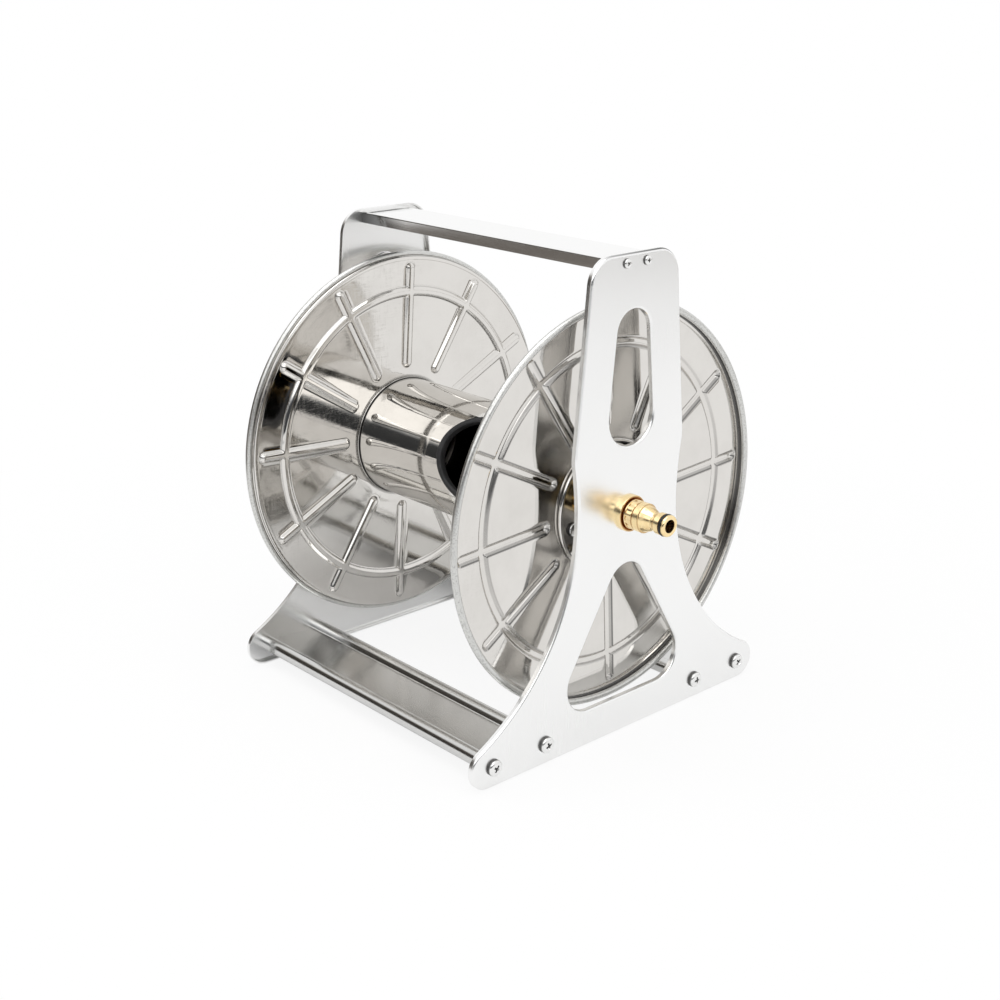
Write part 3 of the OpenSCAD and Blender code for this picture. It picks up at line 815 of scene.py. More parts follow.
def cut(piece: Piece, tool: Piece, keep: bool = False) -> None:
    """Cuts one closed piece with another, and removes the tool.

    Args:
        piece: The piece.
        tool: The cutting shape.
        keep: Whether what lies inside the tool is kept, instead of what lies outside.
    """
    modify(piece, "BOOLEAN", operation="INTERSECT" if keep else "DIFFERENCE",
           solver="EXACT", object=tool)
    bpy.data.objects.remove(tool)


def modify(piece: Piece, kind: str, **settings: object) -> None:
    """Adds a modifier and applies it.

    Args:
        piece: The piece.
        kind: The modifier's type.
        **settings: Its settings.
    """
    pick(piece)
    bpy.ops.object.modifier_add(type=kind)
    modifier = piece.modifiers[-1]
    for name, value in settings.items():
        setattr(modifier, name, value)
    bpy.ops.object.modifier_apply(modifier=modifier.name)


def thicken(piece: Piece, sheet: float, inwards: bool = True) -> None:
    """Gives a sheet its thickness.

    Args:
        piece: The sheet, its faces outwards.
        sheet: Thickness in millimetres.
        inwards: Whether it grows against the faces' direction, or half each way.
    """
    modify(piece, "SOLIDIFY", thickness=sheet * MM, offset=-1.0 if inwards else 0.0,
           use_even_offset=True)


def smooth(piece: Piece, angle: float = 35.0, weighted: bool = True) -> None:
    """Smooths all but the sharp edges.

    Args:
        piece: The piece.
        angle: Edges sharper than this stay sharp, in degrees.
        weighted: Whether large flat faces keep their own direction.
    """
    pick(piece)
    bpy.ops.object.shade_smooth_by_angle(angle=math.radians(angle))
    if weighted:
        modify(piece, "WEIGHTED_NORMAL", keep_sharp=True, weight=80)


def mark(piece: Piece, level: Callable[[Vector], float]) -> None:
    """Writes how much shade is painted on each point of the mesh.

    Args:
        piece: The piece.
        level: Gives 0 to 1 for a point in millimetres.
    """
    marks = piece.data.attributes.new(SHADE_ATTRIBUTE, "FLOAT", "POINT")
    for vertex in piece.data.vertices:
        marks.data[vertex.index].value = min(max(level(vertex.co / MM), 0.0), 1.0)


def around(centre: Point, radius: float, start: float, end: float,
           step: float = 6.0) -> list[Point]:
    """Points of an arc.

    Args:
        centre: Its centre.
        radius: Its radius.
        start: Its first angle in degrees.
        end: Its last angle in degrees.
        step: The largest turn between two points.

    Returns:
        The points, in order.
    """
    # the small amount keeps a whole number of steps from growing by one
    count = max(1, math.ceil(abs(end - start) / step - 1e-9))
    turns = [math.radians(start + (end - start) * k / count) for k in range(count + 1)]
    return [(centre[0] + radius * math.cos(t), centre[1] + radius * math.sin(t)) for t in turns]


def hand_over(piece: Piece, material: Material, node: str) -> None:
    """Dresses a finished piece and puts it on its body.

    Args:
        piece: The piece.
        material: Its finish.
        node: The construction node that it stands for, from which it has its slot and body.
    """
    piece.data.materials.clear()
    piece.data.materials.append(material)
    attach(piece, BODIES[node])
    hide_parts(node)
    log.info("%s: %d faces", piece.name, len(piece.data.polygons))


@dataclass
class Part:
    """A sub-assembly of one piece, and the construction node that it stands for."""

    node: str

    def dress(self, piece: Piece, material: Material) -> None:
        """Gives the piece its finish, its slot and its body."""
        hand_over(piece, material, self.node)


# ---------------------------------------------------------------- frame pieces


@dataclass
class SidePlate(Part):
    """A side plate of satin sheet, its edges and cut-outs rolled inwards."""

    side: Side
    hole_r: float
    dark_y: float
    rim: float = 4.5
    bend: float = 1.9
    bend_end: float = 0.4
    height: float = 360.0
    half_base: float = 150.0
    top_half: float = 43.5
    top_r: float = 20.0
    shoulder: Point = (24.8, 222.0)
    shoulder_r: float = 30.0
    waist: Point = (51.0, 178.0)
    foot_r: float = 15.5
    slot: tuple[Triple, Triple] = ((0.0, 245.4, 22.4), (0.0, 304.5, 16.5))
    window: tuple[Triple, Triple] = ((36.0, 50.0, 22.0), (0.0, 115.0, 19.0))
    dark_z: float = 322.0
    dark_fade: Point = (20.0, 16.0)
    dark_most: float = 0.95
    dark_depth: Point = (0.5, 2.1)
    dark_band: float = 0.6

    @staticmethod
    def tangent(low: Point, low_r: float, high: Point, high_r: float) -> float:
        """Direction of the normal of the line that touches two circles.

        Args:
            low: Centre of the lower circle.
            low_r: Its radius.
            high: Centre of the upper circle.
            high_r: Its radius.

        Returns:
            The direction in degrees.
        """
        dy, dz = high[0] - low[0], high[1] - low[1]
        return math.degrees(math.atan2(dz, dy)
                            - math.acos((low_r - high_r) / math.hypot(dy, dz)))

    def hollow(self, centre: Point, radius: float) -> float:
        """Radius of the hollow arc from the waist that touches a circle."""
        a, b = centre[0] - self.waist[0], centre[1] - self.waist[1]
        return (a * a + b * b - radius * radius) / (2 * (a + radius))

    @staticmethod
    def both(half: list[Point]) -> list[Point]:
        """Closes a half outline with its mirror image."""
        return half + [(-y, z) for y, z in reversed(half) if y > 1e-6]

    def outline(self, inset: float) -> list[Point]:
        """The plate's outline.

        Args:
            inset: How far it is moved inwards.

        Returns:
            Its points.
        """
        top = (self.top_half - self.top_r, self.height - self.top_r)
        foot = (self.half_base - self.foot_r, self.foot_r)
        hip_r = self.hollow(self.shoulder, self.shoulder_r)
        flare_r = self.hollow(foot, self.foot_r)
        waist_y, waist_z = self.waist
        taper = self.tangent(self.shoulder, self.shoulder_r, top, self.top_r)
        hip = math.degrees(math.atan2(self.shoulder[1] - waist_z,
                                      waist_y + hip_r - self.shoulder[0]))
        flare = math.degrees(math.atan2(waist_z - foot[1], waist_y + flare_r - foot[0]))
        return self.both(
            around(top, self.top_r - inset, 90, taper)
            + around(self.shoulder, self.shoulder_r - inset, taper, -hip)
            + around((waist_y + hip_r, waist_z), hip_r + inset, 180 - hip, 180, 1.5)
            + around((waist_y + flare_r, waist_z), flare_r + inset, 180, 180 + flare, 2)
            + around(foot, self.foot_r - inset, flare, -90))

    def opening(self, low: Triple, high: Triple, grow: float) -> list[Point]:
        """The outline of an opening that narrows upwards.

        Args:
            low: Y, Z and radius of its lower corners.
            high: Y, Z and radius of its upper end.
            grow: How far it is moved outwards.

        Returns:
            Its points.
        """
        (low_y, low_z, low_r), (high_y, high_z, high_r) = low, high
        turn = self.tangent((low_y, low_z), low_r, (high_y, high_z), high_r)
        return self.both(around((high_y, high_z), high_r + grow, 90, turn)
                         + around((low_y, low_z), low_r + grow, turn, -90))

    def place(self, points: Sequence[Point], depth: float) -> list[Vector]:
        """Puts a drawing on the plate, depth behind its outer face."""
        x = self.side.value * (PLATE_X - depth)
        return [Vector((x, y, z)) for y, z in points]

    def build(self) -> Piece:
        """Builds the plate: its flat face, then every edge drawn round the bend.

        Returns:
            The plate.
        """
        name = f"{self.side.word}_plate_sheet"
        bend = [(self.bend * (1 - math.sin(math.radians(a))),
                 self.bend * (1 - math.cos(math.radians(a)))) for a in range(0, 91, 15)]
        steps = bend + [(0.0, self.bend + self.bend_end), (0.0, self.rim)]
        rims = []
        faces = [line(name, self.place(around((0, AXLE_H), self.hole_r, 0, 350, 10), 0))]
        for k, shape in enumerate((self.outline, partial(self.opening, *self.slot),
                                   partial(self.opening, *self.window))):
            faces.append(line(f"{name}_{k}", self.place(shape(self.bend), 0)))
            rims.append(loft(f"{name}_rim_{k}",
                             [self.place(shape(inset), depth) for inset, depth in steps]))
        face = join(faces)
        with editing(face):
            bpy.ops.mesh.fill()
        plate = join([face] + rims)
        weld(plate)
        with editing(plate):
            mesh = bmesh.from_edit_mesh(plate.data)
            flat = max(mesh.faces, key=lambda f: f.calc_area())
            if flat.normal.x * self.side.value < 0:
                bpy.ops.mesh.flip_normals()
        thicken(plate, PLATE_SHEET)
        smooth(plate)
        # painted shade on the bend of the top edge beside the carry bar
        mark(plate, self.edge)
        return plate

    def edge(self, place: Vector) -> float:
        """How much shade is painted on the bend of the plate's top edge, from a low corner to the
        middle.

        Args:
            place: The point in millimetres.

        Returns:
            0 away from that bend, up to 1 where it is darkest.
        """
        depth = PLATE_X - abs(place.x)
        reach = math.hypot(max(abs(place.y) - self.top_half + self.top_r, 0.0),
                           max(place.z - self.height + self.top_r, 0.0))
        first, last = self.dark_depth
        if not first < depth < last or reach < self.top_r - self.dark_band:
            return 0.0
        run, rise = self.dark_fade
        return min((place.z - self.dark_z) / rise, (place.y - self.dark_y) / run, self.dark_most)


@dataclass
class BaseRail(Part):
    """A tray with a curled tube along each long edge."""

    name: str
    middle_y: float
    half_length: float = PLATE_X - PLATE_SHEET
    pitch: float = 50.0
    curl_r: float = 6.0
    centre_z: float = 15.5
    tray_z: float = 16.5
    fillet: float = 2.0
    curl_turn: float = 340.0

    def section(self) -> list[Point]:
        """The middle line of the sheet, from the end of one curl to the end of the other.

        Returns:
            Its points.
        """
        mid_r = self.curl_r - PLATE_SHEET / 2
        tray_z = self.tray_z - PLATE_SHEET / 2
        root = math.degrees(math.acos((self.centre_z - tray_z + self.fillet)
                                      / (mid_r + self.fillet)))
        bend_y = (mid_r + self.fillet) * math.sin(math.radians(root))
        # the fillet touches the curl from above and the tray's middle line
        bend = (self.pitch / 2 - bend_y, tray_z + self.fillet)
        join_turn = math.degrees(math.atan2(self.centre_z - bend[1],
                                            self.pitch / 2 - bend[0]))
        curl = around((self.pitch / 2, self.centre_z), mid_r, 180 + join_turn,
                      180 + join_turn - self.curl_turn, 10)
        half = around(bend, self.fillet, -90, join_turn, 15) + curl[1:]
        return [(-y, z) for y, z in reversed(half)] + half

    def build(self) -> Piece:
        """Draws the section out along the rail.

        Returns:
            The rail.
        """
        section = self.section()
        ends = (-self.half_length, 0.0, self.half_length)
        rows = [[Vector((x, y + self.middle_y, z)) for y, z in section] for x in ends]
        rail = loft(self.name, rows, closed=False)
        weld(rail)
        thicken(rail, PLATE_SHEET, inwards=False)
        smooth(rail, 30)
        return rail


@dataclass
class CarryBar(Part):
    """An inverted channel between the tops of the plates, with a tab at each end."""

    half_length: float = PLATE_X - PLATE_SHEET
    half_width: float = 21.5
    top_z: float = 357.2
    skirt: float = 8.6
    bend: float = 1.3
    tab_half: float = 17.5
    # where the shade painted on the skirts starts, where it is fullest, and how dark it gets
    clean_x: float = -84.0
    grimy_x: float = -108.0
    grime: float = 0.7
    top_band: float = 0.5

    def build(self) -> Piece:
        """Draws the channel out along the axis, then adds the two tabs.

        Returns:
            The bar.
        """
        low, bend_z = self.top_z - self.skirt, self.top_z - self.bend
        half = [(self.half_width, low)] + around(
            (self.half_width - self.bend, bend_z), self.bend, 0, 90, 15)
        section = half + [(-y, z) for y, z in reversed(half)]
        stations = (-self.half_length, self.grimy_x, self.clean_x, 0.0, self.half_length)
        rows = [[Vector((x, y, z)) for y, z in section] for x in stations]
        bar = loft("carry_bar_sheet", rows, closed=False)
        weld(bar)
        thicken(bar, PLATE_SHEET)
        bar = join([bar] + [self.tab(side, low) for side in Side])
        smooth(bar)
        # painted shade on the skirts towards the crank plate
        mark(bar, self.fouling)
        return bar

    def tab(self, side: Side, low: float) -> Piece:
        """Builds the tab that closes an end of the bar.

        Args:
            side: The end.
            low: Height of its lower edge.

        Returns:
            The tab.
        """
        high = self.top_z - PLATE_SHEET / 2
        corners = [(-self.tab_half, low), (self.tab_half, low),
                   (self.tab_half, high), (-self.tab_half, high)]
        tab = line(f"carry_bar_tab_{side.word}",
                   [Vector((side.value * self.half_length, y, z)) for y, z in corners])
        fill_out(tab, -side.value * PLATE_SHEET)
        return tab

    def fouling(self, place: Vector) -> float:
        """How much shade is painted on the skirts and the underside, more and more towards the
        crank side.
        """
        if place.z >= self.top_z - self.top_band:
            return 0.0
        return self.grime * (self.clean_x - place.x) / (self.clean_x - self.grimy_x)


# ---------------------------------------------------------------- drum pieces


@dataclass
class Flange(Part):
    """A pressed disc of mirror sheet with ribs, a ring and a rolled rim."""

    side: Side
    turn: float
    rib_count: int = 12
    rib_w: float = 9.0
    rib_in: float = 57.0
    rib_out: float = 143.5
    rib_h: float = 2.5
    ring_r: float = 120.0
    ring_w: float = 8.0
    run_out: float = 0.5
    crown: float = 1.3
    melt: float = 0.35
    drawn_in: float = 0.14
    drawn_reach: float = 3.0
    plain_rows: tuple[float, ...] = (51.5, 72.0, 82.0, 92.0, 102.0, 110.0, 130.0)
    near_steps: int = 7
    far_steps: tuple[float, ...] = (0.12, 0.3, 0.5, 0.7, 0.87, 1.0)
    wall_r: float = 148.4
    wall_depth: float = 3.0
    fold_r: float = 1.6
    fold_rise: float = 0.25
    lead: Point = (2.3, 0.3)
    lead_steps: Triple = (0.0, 0.35, 0.7)
    bead_c: Point = (149.7, 5.4)
    bead_r: float = 2.1
    bead_turn: Point = (226.0, -105.0)
    probe: float = 0.3
    foot: float = 0.1
    foot_dark: float = 1.3
    foot_lee: Point = (0.75, 0.35)
    lee_scale: float = 0.7
    lee_dark: float = 0.6
    dull_slope: float = 0.14
    slope_levels: Point = (0.15, 0.85)
    hub_dark: float = 1.2
    hub_reach: float = 1.2
    fold_band: Point = (1.4, 0.1)
    fold_depth: Point = (0.56, 3.3)

    def relief(self, radius: float, across: float) -> float:
        """Depth of the pressing at a place.

        Args:
            radius: Its distance from the axis.
            across: Its distance across the nearest rib.

        Returns:
            The depth, which is below 0 where the sheet is drawn in beside a pressing.
        """
        half = self.rib_w / 2
        along = min(max(radius, self.rib_in + half), self.rib_out - half)
        to_rib, to_ring = math.hypot(radius - along, across), abs(radius - self.ring_r)
        rib, ring = self.mound(to_rib, half), self.mound(to_ring, self.ring_w / 2)
        both = (rib + ring + math.sqrt((rib - ring) ** 2 + self.melt ** 2 * rib * ring)) / 2
        level = min(both, 1.0)
        gap = max(min(to_rib, to_ring) - half, 0.0)
        drawn = self.drawn_in * math.exp(-(gap / self.drawn_reach) ** 2)
        return self.rib_h * level - drawn * (1 - level)

    def mound(self, distance: float, half: float) -> float:
        """Cross-section of a pressing.

        Args:
            distance: The distance from its middle line.
            half: Its half width.

        Returns:
            1 on its crown and 0 beyond its run-out.
        """
        end = half + self.run_out
        t = min(max((end - distance) / (end - self.crown), 0.0), 1.0)
        return t * t * (3 - 2 * t)

    def radii(self) -> list[float]:
        """Radii of the rows from the drum to the foot of the wall, close at each pressing.

        Returns:
            The radii, in order.
        """
        fine = [start + step * k for start, step, count in (
            (self.rib_in - 1.5, 0.75, 13), (self.ring_r - 5.5, 0.7, 17),
            (self.rib_out - 8.0, 0.75, 13)) for k in range(count)]
        return sorted([DRUM_R, *self.plain_rows, *fine])

    def rows(self) -> list[list[Vector]]:
        """Rows of points of one sector, from the drum out to the end of the rolled rim.

        Returns:
            The rows, each with the same number of points.
        """
        strip = self.rib_w / 2 + self.run_out
        near = [k * strip / self.near_steps for k in range(self.near_steps + 1)]
        rows = []
        for radius in self.radii():
            turns = [(math.asin(v / radius), v) for v in near]
            last = turns[-1][0]
            edge = math.pi / self.rib_count - last
            turns += [(last + share * edge, strip) for share in self.far_steps]
            rows.append([
                self.at(radius, DRUM_SHEET / 2 - self.relief(radius, across), turn)
                for turn, across in [(-t, v) for t, v in reversed(turns[1:])] + turns])
        spread = [math.atan2(p.z - AXLE_H, p.y) - math.radians(self.turn) for p in rows[-1]]
        rows += [[self.at(radius, depth, turn) for turn in spread]
                 for radius, depth in self.rim()]
        return rows

    def rim(self) -> list[Point]:
        """The rim's section: the lead to the fold, the fold, the wall and the bead.

        Returns:
            Points (radius, depth).
        """
        width, rise = self.lead
        middle = DRUM_SHEET / 2
        fold = around((self.wall_r - self.fold_r, middle + self.fold_r + self.fold_rise),
                      self.fold_r, -75, 0, 15)
        lead = [(fold[0][0] - width * (1 - t), middle + rise * t * t) for t in self.lead_steps]
        bead = around(self.bead_c, self.bead_r, *self.bead_turn, 14)
        return lead + fold + [(self.wall_r, self.wall_depth)] + bead

    def at(self, radius: float, depth: float, turn: float) -> Vector:
        """A point of the flange.

        Args:
            radius: Its distance from the axis.
            depth: Its distance outwards from the hose face.
            turn: Its turn from the nearest rib, in radians.

        Returns:
            The point.
        """
        angle = turn + math.radians(self.turn)
        return Vector((self.side.value * (HOSE_FACE_X + depth), radius * math.cos(angle),
                       AXLE_H + radius * math.sin(angle)))

    def build(self) -> Piece:
        """Draws out one sector, copies it round the axis and gives the sheet its thickness.

        Returns:
            The disc.
        """
        disc = loft(f"{self.side.word}_flange_sheet", self.rows(), closed=False)
        with editing(disc):
            bpy.ops.mesh.spin(steps=self.rib_count - 1, dupli=True,
                              angle=FULL_TURN * (self.rib_count - 1) / self.rib_count,
                              center=(0, 0, AXLE_H * MM), axis=(1, 0, 0))
        weld(disc, 0.02)
        thicken(disc, DRUM_SHEET, inwards=False)
        smooth(disc, 60, weighted=False)
        # painted shade at the feet and lower sides of the pressings, at the fold and at the hub
        mark(disc, self.crease)
        return disc

    def pressed(self, y: float, z: float) -> float:
        """How far a place is pressed.

        Args:
            y: Its distance from the axis along Y.
            z: Its distance from the axis along Z.

        Returns:
            1 on the crown of a pressing, 0 on the flat sheet.
        """
        sector = FULL_TURN / self.rib_count
        radius = math.hypot(y, z)
        turn = (math.atan2(z, y) - math.radians(self.turn) + sector / 2) % sector - sector / 2
        return self.relief(radius, abs(radius * math.sin(turn))) / self.rib_h

    def crease(self, place: Vector) -> float:
        """How much shade is painted on a point: at the foot of a pressing, on its side towards the
        floor, at the folded edge and at the hub.

        Args:
            place: The point in millimetres.

        Returns:
            0 on the open sheet, up to 1 and more where it is darkest.
        """
        y, z = place.y, place.z - AXLE_H
        radius, depth = math.hypot(y, z), abs(place.x) - HOSE_FACE_X
        level, step = self.pressed(y, z), self.probe
        across = self.pressed(y - step, z) - self.pressed(y + step, z)
        along = self.pressed(y, z - step) - self.pressed(y, z + step)
        # painted shade: the side of a pressing that falls towards +Y and the floor is the dark one
        lee = self.lee_scale * (across - along) / max(math.hypot(across, along), 0.01)
        base, gain = self.foot_lee
        foot = self.foot_dark * (1 - abs(level - self.foot) / self.foot) * (base + gain * lee)
        low, high = self.slope_levels
        # on the inlet flange every slope gets a little painted shade, which also makes it rougher
        dull = self.dull_slope if self.side is Side.INLET else 0.0
        slope = max(self.lee_dark * lee, dull) if low < level < high else 0.0
        hub = self.hub_dark - (radius - DRUM_R) / self.hub_reach
        (inner, outer), (start, end) = self.fold_band, self.fold_depth
        folded = self.wall_r - inner < radius < self.wall_r - outer and start < depth < end
        return max(foot if level > 0 else 0.0, slope, hub, 1.0 if folded else 0.0)


@dataclass
class DrumTube(Part):
    """The winding tube, with a stop bead and a rolled lip at each end and the hose hole."""

    half_length: float = 117.3
    lip_r: float = 1.6
    lip_turn: Point = (180.0, -110.0)
    stop: Triple = (114.9, HOSE_FACE_X, 1.0)
    tool_l: float = 100.0

    def build(self) -> Piece:
        """Turns the tube and cuts the hose hole.

        Returns:
            The tube.
        """
        start, end, rise = self.stop
        half = (end - start) / 2
        bead = around(((start + end) / 2, DRUM_R), half, 180, 0, 30)
        lip = around((self.half_length + self.lip_r, DRUM_R), self.lip_r, *self.lip_turn, 15)
        outer = [(x, DRUM_R + (r - DRUM_R) * rise / half) for x, r in bead] + lip
        outer += [(self.half_length - 1, DRUM_R - DRUM_SHEET)]
        tube = turned("winding_tube", outer + [(-x, r) for x, r in reversed(outer)], 120)
        tool = fresh(bpy.ops.mesh.primitive_cylinder_add, vertices=96, radius=HOLE_R * MM,
                     depth=self.tool_l * MM)
        put(tool, shift(0, 0, self.tool_l / 2), shift(HOLE_X, 0, AXLE_H) @ roll(HOLE_TURN - 90))
        cut(tube, tool)
        smooth(tube, 40)
        return tube


@dataclass
class HoseGrommet(Part):
    """The rubber ring that lines the hose hole and follows the drum's curve."""

    bore_r: float = 28.0
    lip_r: float = 34.0
    lip_t: float = 3.0
    steps: int = 72

    def section(self) -> list[Point]:
        """The ring's section, with soft edges on both lips.

        Returns:
            Points (radius from the hole's middle, radius of the shell round the drum axis).
        """
        outer, inner = DRUM_R, DRUM_R - DRUM_SHEET
        top, low = outer + self.lip_t, inner - self.lip_t
        bore, lip = self.bore_r, self.lip_r
        return [(bore, outer), (bore + 0.5, top - 0.9), (bore + 1.6, top - 0.1),
                (lip - 2.0, top - 0.3), (lip - 0.6, top - 1.1), (lip, top - 2.2), (lip, outer),
                (HOLE_R, outer), (HOLE_R, inner), (lip, inner), (lip - 0.8, low + 0.8),
                (lip - 2.4, low), (bore + 1.6, low), (bore + 0.4, low + 1.0)]

    def build(self) -> Piece:
        """Draws the section round the hole, bent to the drum.

        Returns:
            The ring.
        """
        turns = [FULL_TURN * k / self.steps for k in range(self.steps + 1)]
        rows = [[self.at(reach * math.cos(t), reach * math.sin(t), shell)
                 for reach, shell in self.section()] for t in turns]
        ring = loft("grommet_ring", rows)
        weld(ring)
        smooth(ring, 40)
        return ring

    def at(self, along: float, across: float, shell: float) -> Vector:
        """A point beside the hole's middle.

        Args:
            along: Its distance along the drum.
            across: Its distance across the drum.
            shell: Its distance from the drum axis.

        Returns:
            The point.
        """
        height = math.sqrt(shell * shell - across * across)
        t = math.radians(HOLE_TURN)
        return Vector((HOLE_X + along, height * math.cos(t) - across * math.sin(t),
                       AXLE_H + height * math.sin(t) + across * math.cos(t)))


@dataclass
class DrumEnd(Part):
    """The dished disc that closes an end of the drum tube."""

    side: Side
    centre_r: float
    sheet: float = 1.5
    rim: float = 10.0
    radius: float = DRUM_R - DRUM_SHEET
    bend: float = 2.5

    def build(self) -> Piece:
        """Turns the disc.

        Returns:
            The disc.
        """
        inner = self.radius - self.bend
        centre, end = (DRUM_END_X - self.bend, inner), DRUM_END_X - self.rim
        corner = around(centre, self.bend, 0, 90, 15)
        back = around(centre, self.bend - self.sheet, 90, 0, 30)
        profile = [(DRUM_END_X, self.centre_r)] + corner
        profile += [(end, self.radius), (end, self.radius - self.sheet)]
        profile += back + [(DRUM_END_X - self.sheet, self.centre_r)]
        disc = turned(f"{self.side.word}_drum_end_disc",
                      [(self.side.value * x, r) for x, r in profile], 96)
        smooth(disc, 30)
        return disc


# ---------------------------------------------------------------- fasteners


@dataclass
class PanScrews(Part):
    """Cross-recessed pan-head screws of one node."""

    name: str
    face_x: float
    places: list[Point]
    head_d: float
    shank_d: float
    shank_l: float
    side: Side
    turn: float = 20.0
    turn_step: float = 37.0
    head_share: float = 0.3
    recess_share: float = 0.75
    blade: Point = (0.66, 0.17)
    blade_taper: Triple = (1.0, 0.4, 0.45)
    recess_zone: Point = (0.8, 0.75)
    foot_zone: Point = (0.45, 0.8)
    foot_dark: float = 0.9

    def pattern(self) -> Piece:
        """Models one screw at the origin, its head towards +X and a cross recess in it.

        Returns:
            The screw.
        """
        head_r, head_h, shank_r = self.head_d / 2, self.head_d * self.head_share, self.shank_d / 2
        profile = [(-self.shank_l, 0.0), (-self.shank_l, shank_r), (0.0, shank_r),
                   (0.0, head_r - 0.25), (0.25, head_r)]
        profile += [(head_h * rise, head_r * reach) for rise, reach in (
            (0.4, 1.0), (0.68, 0.94), (0.87, 0.79), (0.97, 0.55), (1.0, 0.28), (1.0, 0.0))]
        screw = turned(self.name, profile, 40, closed=False, centre=(0.0, 0.0))
        deep = head_h * self.recess_share
        for turn in (0, 90):
            tool = block(2 * deep, *(self.head_d * share for share in self.blade))
            with editing(tool):
                choose(tool, Element.FACE, lambda f: f.normal.x < -0.5)
                bpy.ops.transform.resize(value=self.blade_taper)
            put(tool, roll(turn), shift(head_h, 0, 0))
            cut(screw, tool)
        # painted shade in the cross recess and round the foot of the head
        mark(screw, lambda p: self.grime(p.x / head_h, math.hypot(p.y, p.z) / head_r))
        return screw

    def grime(self, rise: float, reach: float) -> float:
        """How much shade is painted on a screw at shares of its head's height and radius.

        Args:
            rise: The share of the height.
            reach: The share of the radius.

        Returns:
            0 on the bright crown, up to 1 in the recess.
        """
        (top, wide), (low, out) = self.recess_zone, self.foot_zone
        if 0 < rise < top and reach < wide:
            return 1.0
        return self.foot_dark if rise < low and reach > out else 0.0

    def build(self) -> Piece:
        """Copies the screw to every place, each copy turned a little further.

        Returns:
            The screws as one piece.
        """
        screw = self.pattern()
        facing = roll(0 if self.side is Side.INLET else 180, "Z")
        copies = []
        for k, (y, z) in enumerate(self.places):
            pick(screw)
            bpy.ops.object.duplicate()
            copies.append(bpy.context.object)
            put(copies[-1], shift(self.side.value * self.face_x, y, z)
                @ facing @ roll(self.turn + self.turn_step * k))
        bpy.data.objects.remove(screw)
        group = join(copies)
        group.name = group.data.name = self.name
        smooth(group)
        return group


# ---------------------------------------------------------------- brass inlet


